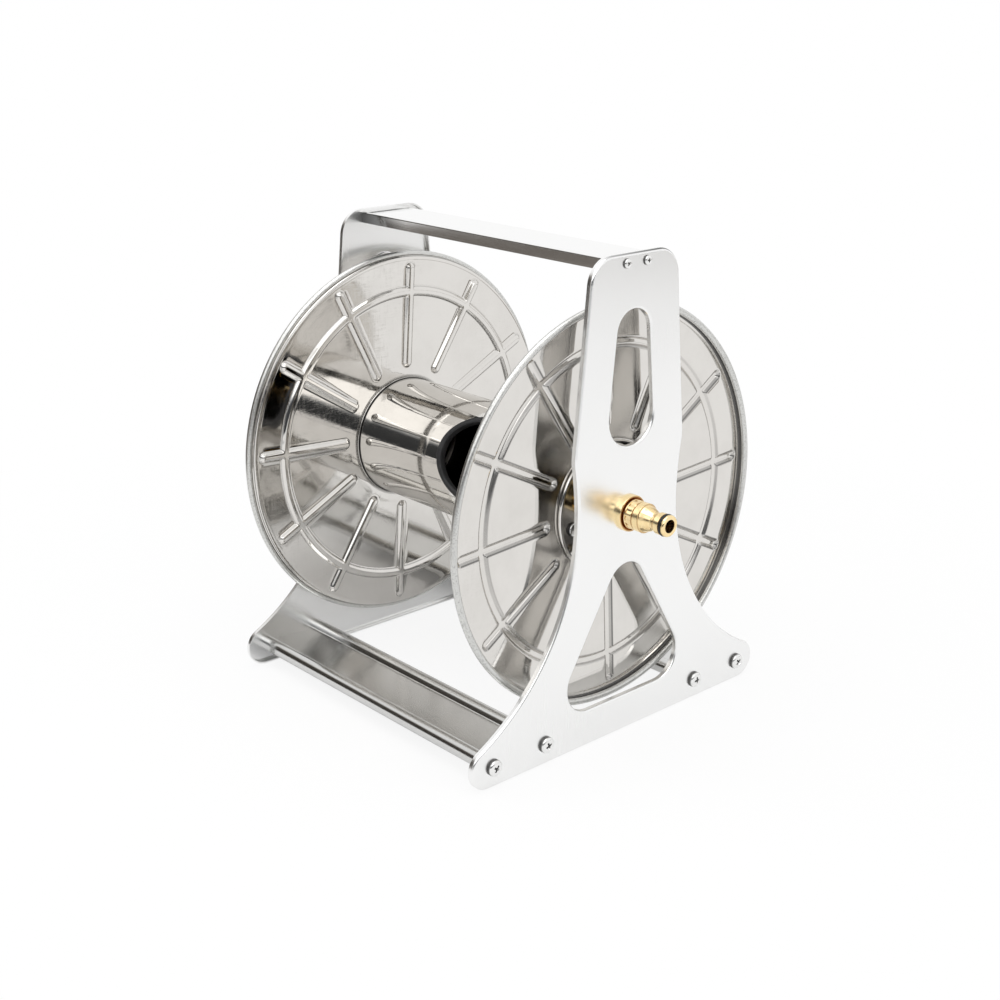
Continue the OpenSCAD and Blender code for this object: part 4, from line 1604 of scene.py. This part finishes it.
@dataclass
class InletFitting:
    """Washer, fluted nut, plug nipple and seal ring in front of the inlet plate."""

    stem_r: float = 8.0
    washer_r: float = 13.5
    washer_t: float = 3.5
    recess: Point = (11.1, 12.2)
    nut_r: float = 11.0
    nut_l: float = 8.0
    flutes: int = 12
    flute_depth: float = 0.5
    flute_power: float = 0.6
    root_r: float = 11.0
    neck_r: float = 6.5
    plug_r: float = 8.0
    bore_r: float = 4.75
    groove: Triple = (22.5, 25.5, 5.6)
    seal: Triple = (24.0, 6.95, 1.35)
    neck_end: float = 17.1
    shoulder_end: float = 5.8
    shaded: float = 0.45
    ring_dark: float = 0.65
    dark: float = 0.7
    pieces: dict[str, Piece] = field(default_factory=dict)

    @property
    def nut_x(self) -> float:
        """Where the washer ends and the nut starts."""
        return PLATE_X + self.washer_t

    @property
    def root_x(self) -> float:
        """Where the nut ends and the nipple starts."""
        return self.nut_x + self.nut_l

    def washer(self) -> Piece:
        """Turns the washer, with a recess round the nut in its front face.

        Returns:
            The washer.
        """
        x0, x1, r = PLATE_X, self.nut_x, self.washer_r
        low, high = self.recess
        disc = turned("inlet_washer_disc", [
            (x0, self.stem_r), (x0, r - 0.3), (x0 + 0.3, r), (x1 - 0.7, r), (x1 - 0.25, r - 0.2),
            (x1, r - 0.6), (x1, high + 0.15), (x1 - 0.15, high), (x1 - 0.8, high - 0.1),
            (x1 - 0.9, low + 0.2), (x1 - 0.5, low), (x1, low - 0.1), (x1, self.stem_r)], 96)
        # painted shade in the recess round the nut and on the rim's front
        mark(disc, lambda p: self.recessed(p.x, math.hypot(p.y, p.z - AXLE_H)))
        return disc

    def recessed(self, x: float, reach: float) -> float:
        """How much shade is painted on the washer.

        Args:
            x: Distance from the middle of the reel.
            reach: Distance from the axis.

        Returns:
            1 in the recess and beside the nut, less on the rim's front.
        """
        if x < self.nut_x - 1.0 or reach > self.washer_r - 0.5:
            return 0.0
        return self.ring_dark if reach > self.recess[1] + 0.1 else 1.0

    def nut(self) -> Piece:
        """Turns the nut, then sinks flutes into its rim.

        Returns:
            The nut.
        """
        x0, x1, r = self.nut_x, self.root_x, self.nut_r
        start, end = x0 + 2.2, x1 - 1.0
        nut = turned("inlet_nut_ring", [
            (x0, self.stem_r), (x0, r - 0.4), (x0 + 0.3, r - 0.1), (x0 + 1.2, r - 0.1),
            (x0 + 1.6, r - 0.5), (start, r), (x0 + 4.0, r), (x0 + 6.0, r), (end, r),
            (x1 - 0.3, r - 0.8), (x1, r - 1.2), (x1, self.stem_r)], 120)
        for vertex in nut.data.vertices:
            x, y, z = vertex.co / MM - Vector((0, 0, AXLE_H))
            reach = math.hypot(y, z)
            if start - 0.1 < x < end + 0.1 and reach > r - 1.0:
                wave = 0.5 - 0.5 * math.cos(self.flutes * math.atan2(z, y))
                rise = wave ** self.flute_power
                sink = 1 - self.flute_depth * (1 - rise) / reach
                vertex.co = Vector((x, y * sink, z * sink + AXLE_H)) * MM
        # painted shade on both end faces, where the nut meets the washer and the nipple
        mark(nut, lambda p: 1.0 if p.x > x1 - 0.4 or p.x < x0 + 0.1 else 0.0)
        return nut

    def nipple(self) -> Piece:
        """Turns the plug nipple: shoulder, cone, neck and grooved plug end.

        Returns:
            The nipple.
        """
        root, neck, plug, bore = self.root_r, self.neck_r, self.plug_r, self.bore_r
        start, end, floor = self.groove
        nipple = turned("inlet_plug_nipple", [(self.root_x + x, r) for x, r in (
            (0.0, self.stem_r), (0.0, root - 1.0), (0.3, root - 0.5), (0.7, root - 0.05),
            (5.3, root - 0.05), (5.6, root - 0.25), (5.8, root - 0.9), (6.2, root - 1.3),
            (8.5, root - 1.9), (11.0, root - 2.85), (13.0, root - 3.85), (14.0, neck + 0.3),
            (14.8, neck), (17.0, neck), (17.2, neck + 0.35), (18.0, plug - 0.15), (18.3, plug),
            (start - 0.15, plug), (start, plug - 0.15), (start, floor), (end, floor),
            (end, plug - 0.15), (end + 0.15, plug), (26.4, plug), (27.1, plug - 0.3),
            (27.5, plug - 0.8), (27.5, bore + 0.5), (27.35, bore + 0.15), (27.0, bore),
            (5.0, bore), (5.0, self.stem_r))], 96)
        # painted shade in the seal groove, in the bore and in the creases at the root, neck and
        # shoulder
        mark(nipple, lambda p: self.worn(p.x - self.root_x, math.hypot(p.y, p.z - AXLE_H)))
        return nipple

    def worn(self, along: float, reach: float) -> float:
        """How much shade is painted on the nipple.

        Args:
            along: Distance from its root.
            reach: Distance from its axis.

        Returns:
            1 in the groove, less in its bore and creases, 0 elsewhere.
        """
        start, end, _ = self.groove
        if start - 0.05 < along < end + 0.05:
            return 1.0
        if reach < self.bore_r + 0.1:
            return self.shaded
        if along < 0.4 or abs(along - self.neck_end) < 0.2:
            return self.dark
        return self.shaded if abs(along - self.shoulder_end) < 0.3 else 0.0

    def ring(self) -> Piece:
        """Turns the black seal ring in the plug's groove."""
        x, middle, section = self.seal
        return turned("inlet_seal_ring", around((self.root_x + x, middle), section, 0, 342, 18), 72)

    def build(self) -> None:
        """Builds the four pieces."""
        self.pieces = {"inlet_washer": self.washer(), "inlet_nut": self.nut(),
                       "inlet_nipple": self.nipple(), "nipple_seal": self.ring()}
        for piece in self.pieces.values():
            smooth(piece, 32)

    def dress(self, brass: Material, rubber: Material) -> None:
        """Gives the pieces their finishes and their body.

        Args:
            brass: The finish of the metal.
            rubber: The finish of the seal ring.
        """
        for node, piece in self.pieces.items():
            hand_over(piece, rubber if node == "nipple_seal" else brass, node)


# ---------------------------------------------------------------- crank


@dataclass
class Crank:
    """Bush, arm, nuts, pin and grip on the crank side."""

    arm_x: float = 150.0
    arm_t: float = 4.0
    reach: float = 90.0
    hub_r: float = 13.0
    neck_half: float = 10.5
    tip_r: float = 11.0
    square: float = 11.0
    arm_bevel: float = 0.7
    bush: tuple[float, ...] = (135.3, 147.0, 11.0, 8.05)
    collar: Point = (3.5, 16.0)
    bush_bevel: float = 0.8
    bush_nut: Triple = (28.0, 140.0, 5.0)
    carrier: Triple = (109.5, 112.5, 40.0)
    shaft: Point = (134.5, 11.0)
    journal_r: float = 8.0
    core_r: float = 5.0
    thread: Point = (164.0, 4.0)
    washer_r: float = 9.5
    washer_t: float = 1.5
    nut_w: float = 13.0
    nut_bevel: Point = (0.9, 0.55)
    axle_nut_h: float = 6.5
    pin_nut_h: float = 6.0
    pin_x: Point = (143.0, 233.5)
    pin_r: float = 4.0
    pin_head: Point = (4.0, 6.5)
    pin_slot: Triple = (3.0, 14.0, 1.5)
    grip_r: float = 14.5
    grip_x: float = 155.5
    grip_l: float = 84.0
    grip_round: float = 4.0
    grip_bore: float = 0.05
    grip_pocket: Triple = (6.8, 7.3, 8.1)
    waist: float = 2.4
    ring_depth: float = 0.35
    ring_waves: int = 9
    grip_rows: int = 40
    pieces: dict[str, Piece] = field(default_factory=dict)

    def lathe(self, name: str, profile: Sequence[Point], steps: int = 48,
              drop: float = 0.0, closed: bool = True) -> Piece:
        """Turns a profile, whose X is measured outwards from the middle, on the crank side.

        Args:
            name: The piece's name.
            profile: Points (distance outwards, radius).
            steps: Faces round the turn.
            drop: How far its axis lies under the drum axis.
            closed: Whether the profile is a closed outline.

        Returns:
            The piece.
        """
        return turned(name, [(-x, r) for x, r in profile], steps, closed, (0.0, AXLE_H - drop))

    def hexagon(self, name: str, flats: float, bore_r: float, start: float, height: float,
                drop: float = 0.0, turn: float = 0.0) -> Piece:
        """Builds a chamfered hexagon nut whose thickness runs outwards from start.

        Args:
            name: The piece's name.
            flats: Width across the flats.
            bore_r: Radius of its hole.
            start: Distance of its inner face from the middle.
            height: Its thickness.
            drop: How far its axis lies under the drum axis.
            turn: Its turn in degrees.

        Returns:
            The nut.
        """
        corner = flats / 2 / math.cos(math.pi / 6)
        share, slope = self.nut_bevel
        bevel = (corner - flats / 2) * share
        nut = self.lathe(name, [
            (start, bore_r), (start, corner - bevel), (start + bevel * slope, corner + 0.05),
            (start + height - bevel * slope, corner + 0.05), (start + height, corner - bevel),
            (start + height, bore_r)], 72, drop)
        tool = fresh(bpy.ops.mesh.primitive_cylinder_add, vertices=6, radius=corner * MM,
                     depth=(height + 2) * MM)
        put(tool, roll(90, "Y"), roll(turn), shift(-(start + height / 2), 0, AXLE_H - drop))
        cut(nut, tool, keep=True)
        return nut

    def sleeve(self) -> Piece:
        """Turns the flanged bush in the plate.

        Returns:
            The bush.
        """
        inner, outer, outer_r, bore = self.bush
        width, wide_r = self.collar
        bevel = self.bush_bevel
        return self.lathe("crank_bush_sleeve", [
            (inner, bore), (inner, wide_r - bevel), (inner + bevel, wide_r),
            (inner + width, wide_r), (inner + width, outer_r), (outer - bevel, outer_r),
            (outer, outer_r - bevel), (outer, bore + 0.5), (outer - 0.5, bore)], 64)

    def arm(self) -> Piece:
        """Builds the flat arm with round ends, square hole and bevelled edges.

        Returns:
            The arm.
        """
        tip_z, half = AXLE_H - self.reach, self.square / 2
        lean = math.degrees(math.asin(self.neck_half / self.hub_r))
        low = math.degrees(math.asin(self.neck_half / self.tip_r))
        outline = around((0, AXLE_H), self.hub_r, -90 + lean, 270 - lean)
        outline += around((0, tip_z), self.tip_r, 90 + low, 450 - low)
        arm = join([line(name, [Vector((-self.arm_x, y, z)) for y, z in points])
                    for name, points in (
                        ("crank_arm_bar", outline),
                        ("arm_square", [(y, AXLE_H + z) for y, z in (
                            (-half, -half), (half, -half), (half, half), (-half, half))]),
                        ("arm_pin_hole", around((0, tip_z), self.pin_r, 0, 348, 12)))])
        fill_out(arm, -self.arm_t)
        with editing(arm):
            choose(arm, Element.EDGE, self.on_outline)
            bpy.ops.mesh.bevel(offset=self.arm_bevel * MM, segments=3)
        return arm

    def on_outline(self, edge: bmesh.types.BMEdge) -> bool:
        """Whether an edge of the arm is a sharp one on its outer outline.

        Args:
            edge: The edge.

        Returns:
            True for an edge round one of the two flat faces.
        """
        ends = [vertex.co / MM for vertex in edge.verts]
        sharp = len(edge.link_faces) == 2 and edge.calc_face_angle(0) > 1.0
        middle = (ends[0] + ends[1]) / 2
        hub = math.hypot(middle.y, middle.z - AXLE_H)
        tip = math.hypot(middle.y, middle.z - AXLE_H + self.reach)
        return (sharp and abs(ends[0].x - ends[1].x) < 0.0001
                and hub > self.square * 0.75 and tip > self.pin_r + 1.0)

    def grip(self) -> Piece:
        """Turns the waisted grip, with shallow finger rings and a pocket for the pin's head.

        Returns:
            The grip.
        """
        x0, x1, r, soft = self.grip_x, self.grip_x + self.grip_l, self.grip_r, self.grip_round
        bore = self.pin_r + self.grip_bore
        depth, pocket_r, mouth_r = self.grip_pocket
        body = []
        for k in range(1, self.grip_rows):
            share = k / self.grip_rows
            waist = self.waist * math.sin(math.pi * share)
            ring = self.ring_depth * max(0.0, math.cos(share * FULL_TURN * self.ring_waves)) ** 6
            body.append((x0 + soft + share * (self.grip_l - 2 * soft), r - waist - ring))
        profile = [(x0, bore), (x0, r - soft)]
        profile += around((x0 + soft, r - soft), soft, 180, 90, 15)[1:] + body
        profile += around((x1 - soft, r - soft), soft, 90, 0, 15)
        profile += [(x1, mouth_r), (x1 - 0.6, pocket_r), (x1 - depth, pocket_r),
                    (x1 - depth, bore)]
        return self.lathe("crank_grip_sleeve", profile, 72, self.reach)

    def pin(self) -> Piece:
        """Turns the grip's pin with its slotted round head.

        Returns:
            The pin.
        """
        (inner, head_x), (head_h, head_r), r = self.pin_x, self.pin_head, self.pin_r
        pin = self.lathe("grip_pin_rod", [
            (inner, 0.0), (inner, r - 0.6), (inner + 0.6, r), (head_x, r),
            (head_x, head_r - 0.3), (head_x + 0.4, head_r), (head_x + 2.4, head_r),
            (head_x + 3.5, head_r - 1.1), (head_x + head_h, head_r - 2.9),
            (head_x + head_h, 0.0)], 48, self.reach, closed=False)
        tool = block(*self.pin_slot)
        put(tool, shift(-(head_x + head_h), 0, AXLE_H - self.reach))
        cut(pin, tool)
        return pin

    def axle(self) -> Piece:
        """Turns the axle with its carrier plate, journal, driving square and thread.

        Returns:
            The axle.
        """
        start, front, wide_r = self.carrier
        (step, shaft_r), (end, thread_r) = self.shaft, self.thread
        r, arm_end = self.journal_r, self.arm_x + self.arm_t
        shaft = self.lathe("crank_axle_shaft", [
            (start, 0.0), (start, wide_r), (front, wide_r), (front, shaft_r),
            (step - 0.7, shaft_r), (step, shaft_r - 0.7), (step, r), (self.arm_x - 0.4, r),
            (self.arm_x, r - 0.5), (self.arm_x, self.core_r), (arm_end, self.core_r),
            (arm_end, thread_r), (end - 0.8, thread_r), (end, thread_r - 0.8), (end, 0.0)], 64,
            closed=False)
        square = block(self.arm_t, self.square, self.square)
        with editing(square):
            bpy.ops.mesh.bevel(offset=0.4 * MM, segments=2)
        put(square, shift(-self.arm_x - self.arm_t / 2, 0, AXLE_H))
        return join([shaft, square])

    def washer(self) -> Piece:
        """Turns the washer under the axle nut.

        Returns:
            The washer.
        """
        x0, r, bore = self.arm_x + self.arm_t, self.washer_r, self.thread[1]
        x1 = x0 + self.washer_t
        return self.lathe("axle_washer_disc", [(x0, bore), (x0, r), (x1 - 0.4, r),
                                               (x1, r - 0.4), (x1, bore)])

    def build(self) -> None:
        """Builds every piece of the crank."""
        flats, nut_x, nut_h = self.bush_nut
        washer_x = self.arm_x + self.arm_t + self.washer_t
        self.pieces = {
            "crank_bush": self.sleeve(),
            "bush_nut": self.hexagon("bush_nut_hexagon", flats, self.bush[2], nut_x, nut_h,
                                     turn=12),
            "crank_arm": self.arm(), "crank_axle": self.axle(), "axle_washer": self.washer(),
            "axle_nut": self.hexagon("axle_nut_hexagon", self.nut_w, self.thread[1], washer_x,
                                     self.axle_nut_h, turn=8),
            "grip_pin": self.pin(),
            "pin_nut": self.hexagon("pin_nut_hexagon", self.nut_w, self.pin_r,
                                    self.arm_x - self.pin_nut_h, self.pin_nut_h, self.reach, 22),
            "crank_grip": self.grip(),
        }
        for piece in self.pieces.values():
            smooth(piece, 32)

    def dress(self, finishes: dict[str, Material]) -> None:
        """Gives each piece the finish and the body that the record names.

        Args:
            finishes: The finish of each slot.
        """
        for node, piece in self.pieces.items():
            hand_over(piece, finishes[SLOTS[node]], node)


# ---------------------------------------------------------------- studio


@dataclass(frozen=True)
class Lamp:
    """A square soft lamp, its place, aim and side in metres."""

    name: str
    place: Triple
    aim: Triple
    side: float
    watts: float
    mirrored: bool = False

    def build(self) -> None:
        """Hangs the lamp and turns it towards its aim."""
        data = bpy.data.lights.new(self.name, "AREA")
        data.size = self.side
        data.energy = self.watts
        lamp = bpy.data.objects.new(self.name, data)
        lamp.location = self.place
        beam = Vector(self.aim) - Vector(self.place)
        lamp.rotation_euler = beam.to_track_quat("-Z", "Y").to_euler()
        lamp.visible_glossy = self.mirrored
        bpy.context.scene.collection.objects.link(lamp)


@dataclass
class Studio:
    """Camera, floor, world, backdrop and soft lamps, all in metres."""

    eye: Triple = (0.84764, -0.76408, 0.54591)
    yaw: float = 0.836096
    pitch: float = 0.337213
    roll: float = 0.002382
    lens: float = 55.44
    film: float = 36.0
    diffuse_level: float = 0.7
    floor_side: float = 12.0
    floor_drop: float = 0.0004
    floor_tones: tuple[Colour, Colour] = ((0.93, 0.93, 0.93), (0.9, 0.9, 0.9))
    floor_clouds: Grain = Grain(3.0)
    halo_stops: Stops = ((0.1, 0.86), (0.75, 1.0))
    reel_x: Point = (-0.03, 0.11)
    reel_half_y: float = 0.15
    under_scale: Point = (2.0, 0.2)
    under_stops: Stops = ((0.1, 0.05), (0.24, 0.4), (0.5, 0.92), (0.8, 1.0))
    wall_r: float = 2.4
    wall_h: float = 2.4
    wall_low: float = 0.002
    wall_steps: int = 96
    ring_r: float = 0.7
    left_side: Point = (-0.74, -0.67)
    left_levels: Point = (0.66, 0.86)
    near_side: Point = (0.77, -0.64)
    near_levels: Point = (0.6, 0.8)
    wall_stops: Stops = ((0.0, 0.15), (0.025, 0.3), (0.035, 1.0))
    left_stops: Stops = ((0.0, 0.9), (0.02, 0.9), (0.03, 0.04), (0.5, 0.06), (0.62, 0.15),
                         (0.75, 1.0))
    near_stops: Stops = ((0.0, 1.0), (0.07, 1.0), (0.085, 0.05), (0.38, 0.07), (0.45, 0.5),
                         (0.5, 1.75))
    ground_stops: Stops = ((0.0, 1.0), (0.75, 1.0), (0.88, 0.25), (1.0, 0.15))
    left_ground_stops: Stops = ((0.0, 1.0), (0.05, 0.08), (0.26, 0.09), (0.36, 0.3),
                                (0.55, 0.3), (0.66, 0.14), (1.0, 0.12))
    foot_levels: Point = (0.98, 0.995)
    warm: Colour = (1.0, 0.88, 0.76)
    cool: Colour = (0.92, 0.97, 1.04)
    lamps: tuple[Lamp, ...] = (
        Lamp("top_lamp", (0.1, -0.3, 1.6), (0, 0, 0.1), 1.2, 9.0, True),
        Lamp("left_lamp", (-1.3, -1.2, 1.0), (0, 0, 0.2), 0.9, 6.0),
        Lamp("right_lamp", (1.6, 0.3, 0.9), (0, 0, 0.2), 0.9, 5.0))

    def camera(self) -> None:
        """Sets the camera."""
        data = bpy.data.cameras.new("camera")
        data.lens = self.lens
        data.sensor_width = self.film
        camera = bpy.data.objects.new("camera", data)
        camera.matrix_world = (Matrix.Translation(self.eye) @ Matrix.Rotation(self.yaw, 4, "Z")
                               @ Matrix.Rotation(math.pi / 2 - self.pitch, 4, "X")
                               @ Matrix.Rotation(self.roll, 4, "Z"))
        bpy.context.scene.collection.objects.link(camera)
        bpy.context.scene.camera = camera

    @staticmethod
    def seen(recipe: Recipe) -> tuple[Wire, Wire]:
        """1 for the eye, and 1 for reflections and through glass; both 0 for light.

        Args:
            recipe: The material or world.

        Returns:
            The two numbers.
        """
        path = recipe.node("ShaderNodeLightPath").outputs
        return (Wire(recipe, path["Is Camera Ray"]),
                Wire(recipe, path["Is Glossy Ray"]) | Wire(recipe, path["Is Transmission Ray"]))

    def world(self) -> None:
        """White for the eye and for reflections, softer as a light."""
        recipe = Recipe("studio", world=True)
        eye, mirror = self.seen(recipe)
        back = recipe.node("ShaderNodeBackground", None, {
            "Color": (1.0, 1.0, 1.0, 1.0),
            "Strength": (eye | mirror) * (1 - self.diffuse_level) + self.diffuse_level})
        recipe.node("ShaderNodeOutputWorld", None, {"Surface": back.outputs[0]})
        bpy.context.scene.world = recipe.owner

    def floor(self) -> None:
        """A pale floor that keeps a soft shadow round the object and turns white beyond."""
        floor = fresh(bpy.ops.mesh.primitive_plane_add, size=self.floor_side,
                      location=(0, 0, -self.floor_drop))
        floor.name = "floor"
        recipe = Recipe("pale_floor")
        x, y, _ = recipe.axes()
        eye, mirror = self.seen(recipe)
        halo = recipe.ramp(recipe.reach(x, y), self.halo_stops)
        middle, half = self.reel_x
        gain, base = self.under_scale
        clear = (abs(x - middle) - half) | (abs(y) - self.reel_half_y)
        under = recipe.ramp(clear * gain + base, self.under_stops)
        matt = recipe.node("ShaderNodeBsdfDiffuse", None, {
            "Color": recipe.tint(recipe.noise(self.floor_clouds), *self.floor_tones)})
        glow = recipe.node("ShaderNodeEmission", None, {"Color": (1, 1, 1, 1), "Strength": 1.0})
        mix = recipe.node("ShaderNodeMixShader", None, {
            0: eye * halo + mirror * under, 1: matt.outputs[0], 2: glow.outputs[0]})
        recipe.node("ShaderNodeOutputMaterial", None, {"Surface": mix.outputs[0]})
        floor.data.materials.append(recipe.owner)

    @staticmethod
    def facing(recipe: Recipe, x: Wire, y: Wire, side: Point) -> Wire:
        """How squarely a place on the backdrop lies towards a side of the studio.

        Args:
            recipe: The backdrop's material.
            x: The place along X.
            y: The place along Y.
            side: The direction of that side.

        Returns:
            The cosine of the angle between the two.
        """
        flat = recipe.node("ShaderNodeCombineXYZ", None, {0: x, 1: y}).outputs[0]
        unit = recipe.node("ShaderNodeVectorMath", {"operation": "NORMALIZE"}, {0: flat})
        return recipe.wire("ShaderNodeVectorMath", {"operation": "DOT_PRODUCT"}, {
            0: unit.outputs[0], 1: (*side, 0.0)}, 1)

    def surround(self) -> None:
        """A backdrop all round that only reflections see: pale, with two darker sides."""
        turns = [FULL_TURN * k / self.wall_steps for k in range(self.wall_steps)]
        rings = [[Vector((r * math.cos(t), r * math.sin(t), z)) / MM for t in turns]
                 for r, z in ((self.ring_r, self.wall_low), (self.wall_r, self.wall_low),
                              (self.wall_r, self.wall_h))]
        wall = loft("studio_wall", rings)
        recipe = Recipe("studio_wall")
        x, y, z = recipe.axes()
        along = (recipe.reach(x, y) - self.ring_r) * (1 / (self.wall_r - self.ring_r))
        up = z * (1 / self.wall_h)
        left = recipe.step(self.facing(recipe, x, y, self.left_side), *self.left_levels)
        near = recipe.step(self.facing(recipe, x, y, self.near_side), *self.near_levels)
        level = recipe.ramp(up, self.wall_stops)
        level = level + (recipe.ramp(up, self.left_stops) - level) * left
        level = level + (recipe.ramp(up, self.near_stops) - level) * near
        ground = recipe.ramp(along, self.ground_stops)
        ground = ground + (recipe.ramp(along, self.left_ground_stops) - ground) * left
        level = ground + (level - ground) * recipe.step(along, *self.foot_levels)
        dark = recipe.tint(near, self.warm, self.cool)
        glow = recipe.node("ShaderNodeEmission", None, {
            "Color": recipe.blend(level, dark, (1.0, 1.0, 1.0)), "Strength": level})
        recipe.node("ShaderNodeOutputMaterial", None, {"Surface": glow.outputs[0]})
        wall.data.materials.append(recipe.owner)
        wall.visible_camera = wall.visible_diffuse = wall.visible_shadow = False

    def build(self) -> None:
        """Sets up the studio."""
        bpy.context.scene.view_settings.view_transform = "Standard"
        self.camera()
        self.world()
        self.floor()
        self.surround()
        for lamp in self.lamps:
            lamp.build()


# ---------------------------------------------------------------- the reel


def make_finishes() -> dict[str, Material]:
    """Makes every finish.

    Returns:
        The finish of each slot of the record, and those that three nodes have to themselves.
    """
    drawn = Grain(rough=0.6, stretch=(20.0, 1500.0, 1500.0))
    return {
        "plate_steel": SatinSheet("satin_plate").make(),
        "rail_steel": SatinSheet("satin_rail", (0.7, 0.7, 0.69), (0.6, 0.6, 0.59), rough=0.12,
                                 grain=drawn).make(),
        "drum_steel": MirrorSheet("mirror_drum").make(),
        "screw_steel": PlatedSteel("screw_steel", (0.93, 0.93, 0.92), (0.8, 0.8, 0.79),
                                   rough=0.12).make(),
        "plated_steel": PlatedSteel("plated_steel").make(),
        "spring_steel": PlatedSteel("spring_steel", (0.3, 0.3, 0.32), (0.2, 0.2, 0.21),
                                    rough=0.35).make(),
        "brass": TurnedBrass("turned_brass").make(),
        "black_rubber": BlackMoulding("black_rubber", rough=0.62).make(),
        "black_nylon": BlackMoulding("black_nylon", (0.022, 0.022, 0.023), (0.06, 0.06, 0.062),
                                     0.42).make(),
        "carry_bar": SatinSheet("satin_bar", rough=0.03, grain=drawn).make(),
        "drum_tube": TubeSheet("mirror_tube").make(),
        "nipple_seal": BlackMoulding("seal_rubber", (0.006, 0.006, 0.006), (0.014, 0.014, 0.014),
                                     0.3).make(),
    }


def screw_sets(side: Side) -> list[PanScrews]:
    """The three sets of screws of one side.

    Args:
        side: The side.

    Returns:
        The sets.
    """
    hub_r, word = 33.5, side.word
    rail_places = [(s * y, 15.5) for s in (-1, 1) for y in (80.0, 130.0)]
    bar_places = [(-10.0, 353.4), (10.0, 353.4)]
    hub_places = [(hub_r * math.cos(math.radians(a)), AXLE_H + hub_r * math.sin(math.radians(a)))
                  for a in (21.7, 111.7, 201.7, 291.7)]
    return [PanScrews(f"rail_screws_{word}", f"{word}_rail_screw_set", PLATE_X, rail_places,
                      head_d=12.2, shank_d=5.0, shank_l=12.0, side=side),
            PanScrews(f"bar_screws_{word}", f"{word}_bar_screw_set", PLATE_X, bar_places,
                      head_d=6.8, shank_d=3.2, shank_l=5.4, side=side, turn=50.0),
            PanScrews(f"hub_screws_{word}", f"{word}_hub_screw_set", DRUM_END_X, hub_places,
                      head_d=10.0, shank_d=4.0, shank_l=7.5, side=side, turn=70.0)]


def main() -> None:
    """Builds the studio, then builds and dresses every piece of the reel in order."""
    logging.basicConfig(level=logging.INFO, format="%(name)s: %(message)s")
    Studio().build()
    finishes = make_finishes()
    parts = [SidePlate("side_plate_inlet", Side.INLET, hole_r=8.05, dark_y=-35.0),
             SidePlate("side_plate_crank", Side.CRANK, hole_r=11.0, dark_y=24.0),
             BaseRail("base_rail_near", "near_rail_sheet", middle_y=-105.0),
             BaseRail("base_rail_far", "far_rail_sheet", middle_y=105.0),
             CarryBar("carry_bar"),
             Flange("flange_inlet", Side.INLET, turn=3.3),
             Flange("flange_crank", Side.CRANK, turn=-3.7),
             DrumTube("drum_tube"), HoseGrommet("hose_grommet"),
             DrumEnd("drum_end_inlet", Side.INLET, centre_r=12.0),
             DrumEnd("drum_end_crank", Side.CRANK, centre_r=11.0),
             *screw_sets(Side.INLET), *screw_sets(Side.CRANK)]
    for part in parts:
        part.dress(part.build(), finishes.get(part.node, finishes[SLOTS[part.node]]))

    fitting = InletFitting()
    fitting.build()
    fitting.dress(finishes["brass"], finishes["nipple_seal"])
    crank = Crank()
    crank.build()
    crank.dress(finishes)
    for node, slot in SLOTS.items():
        materials = frame["nodes"][node].data.materials
        materials.clear()
        materials.append(finishes[slot])


if __name__ == "__main__":
    main()
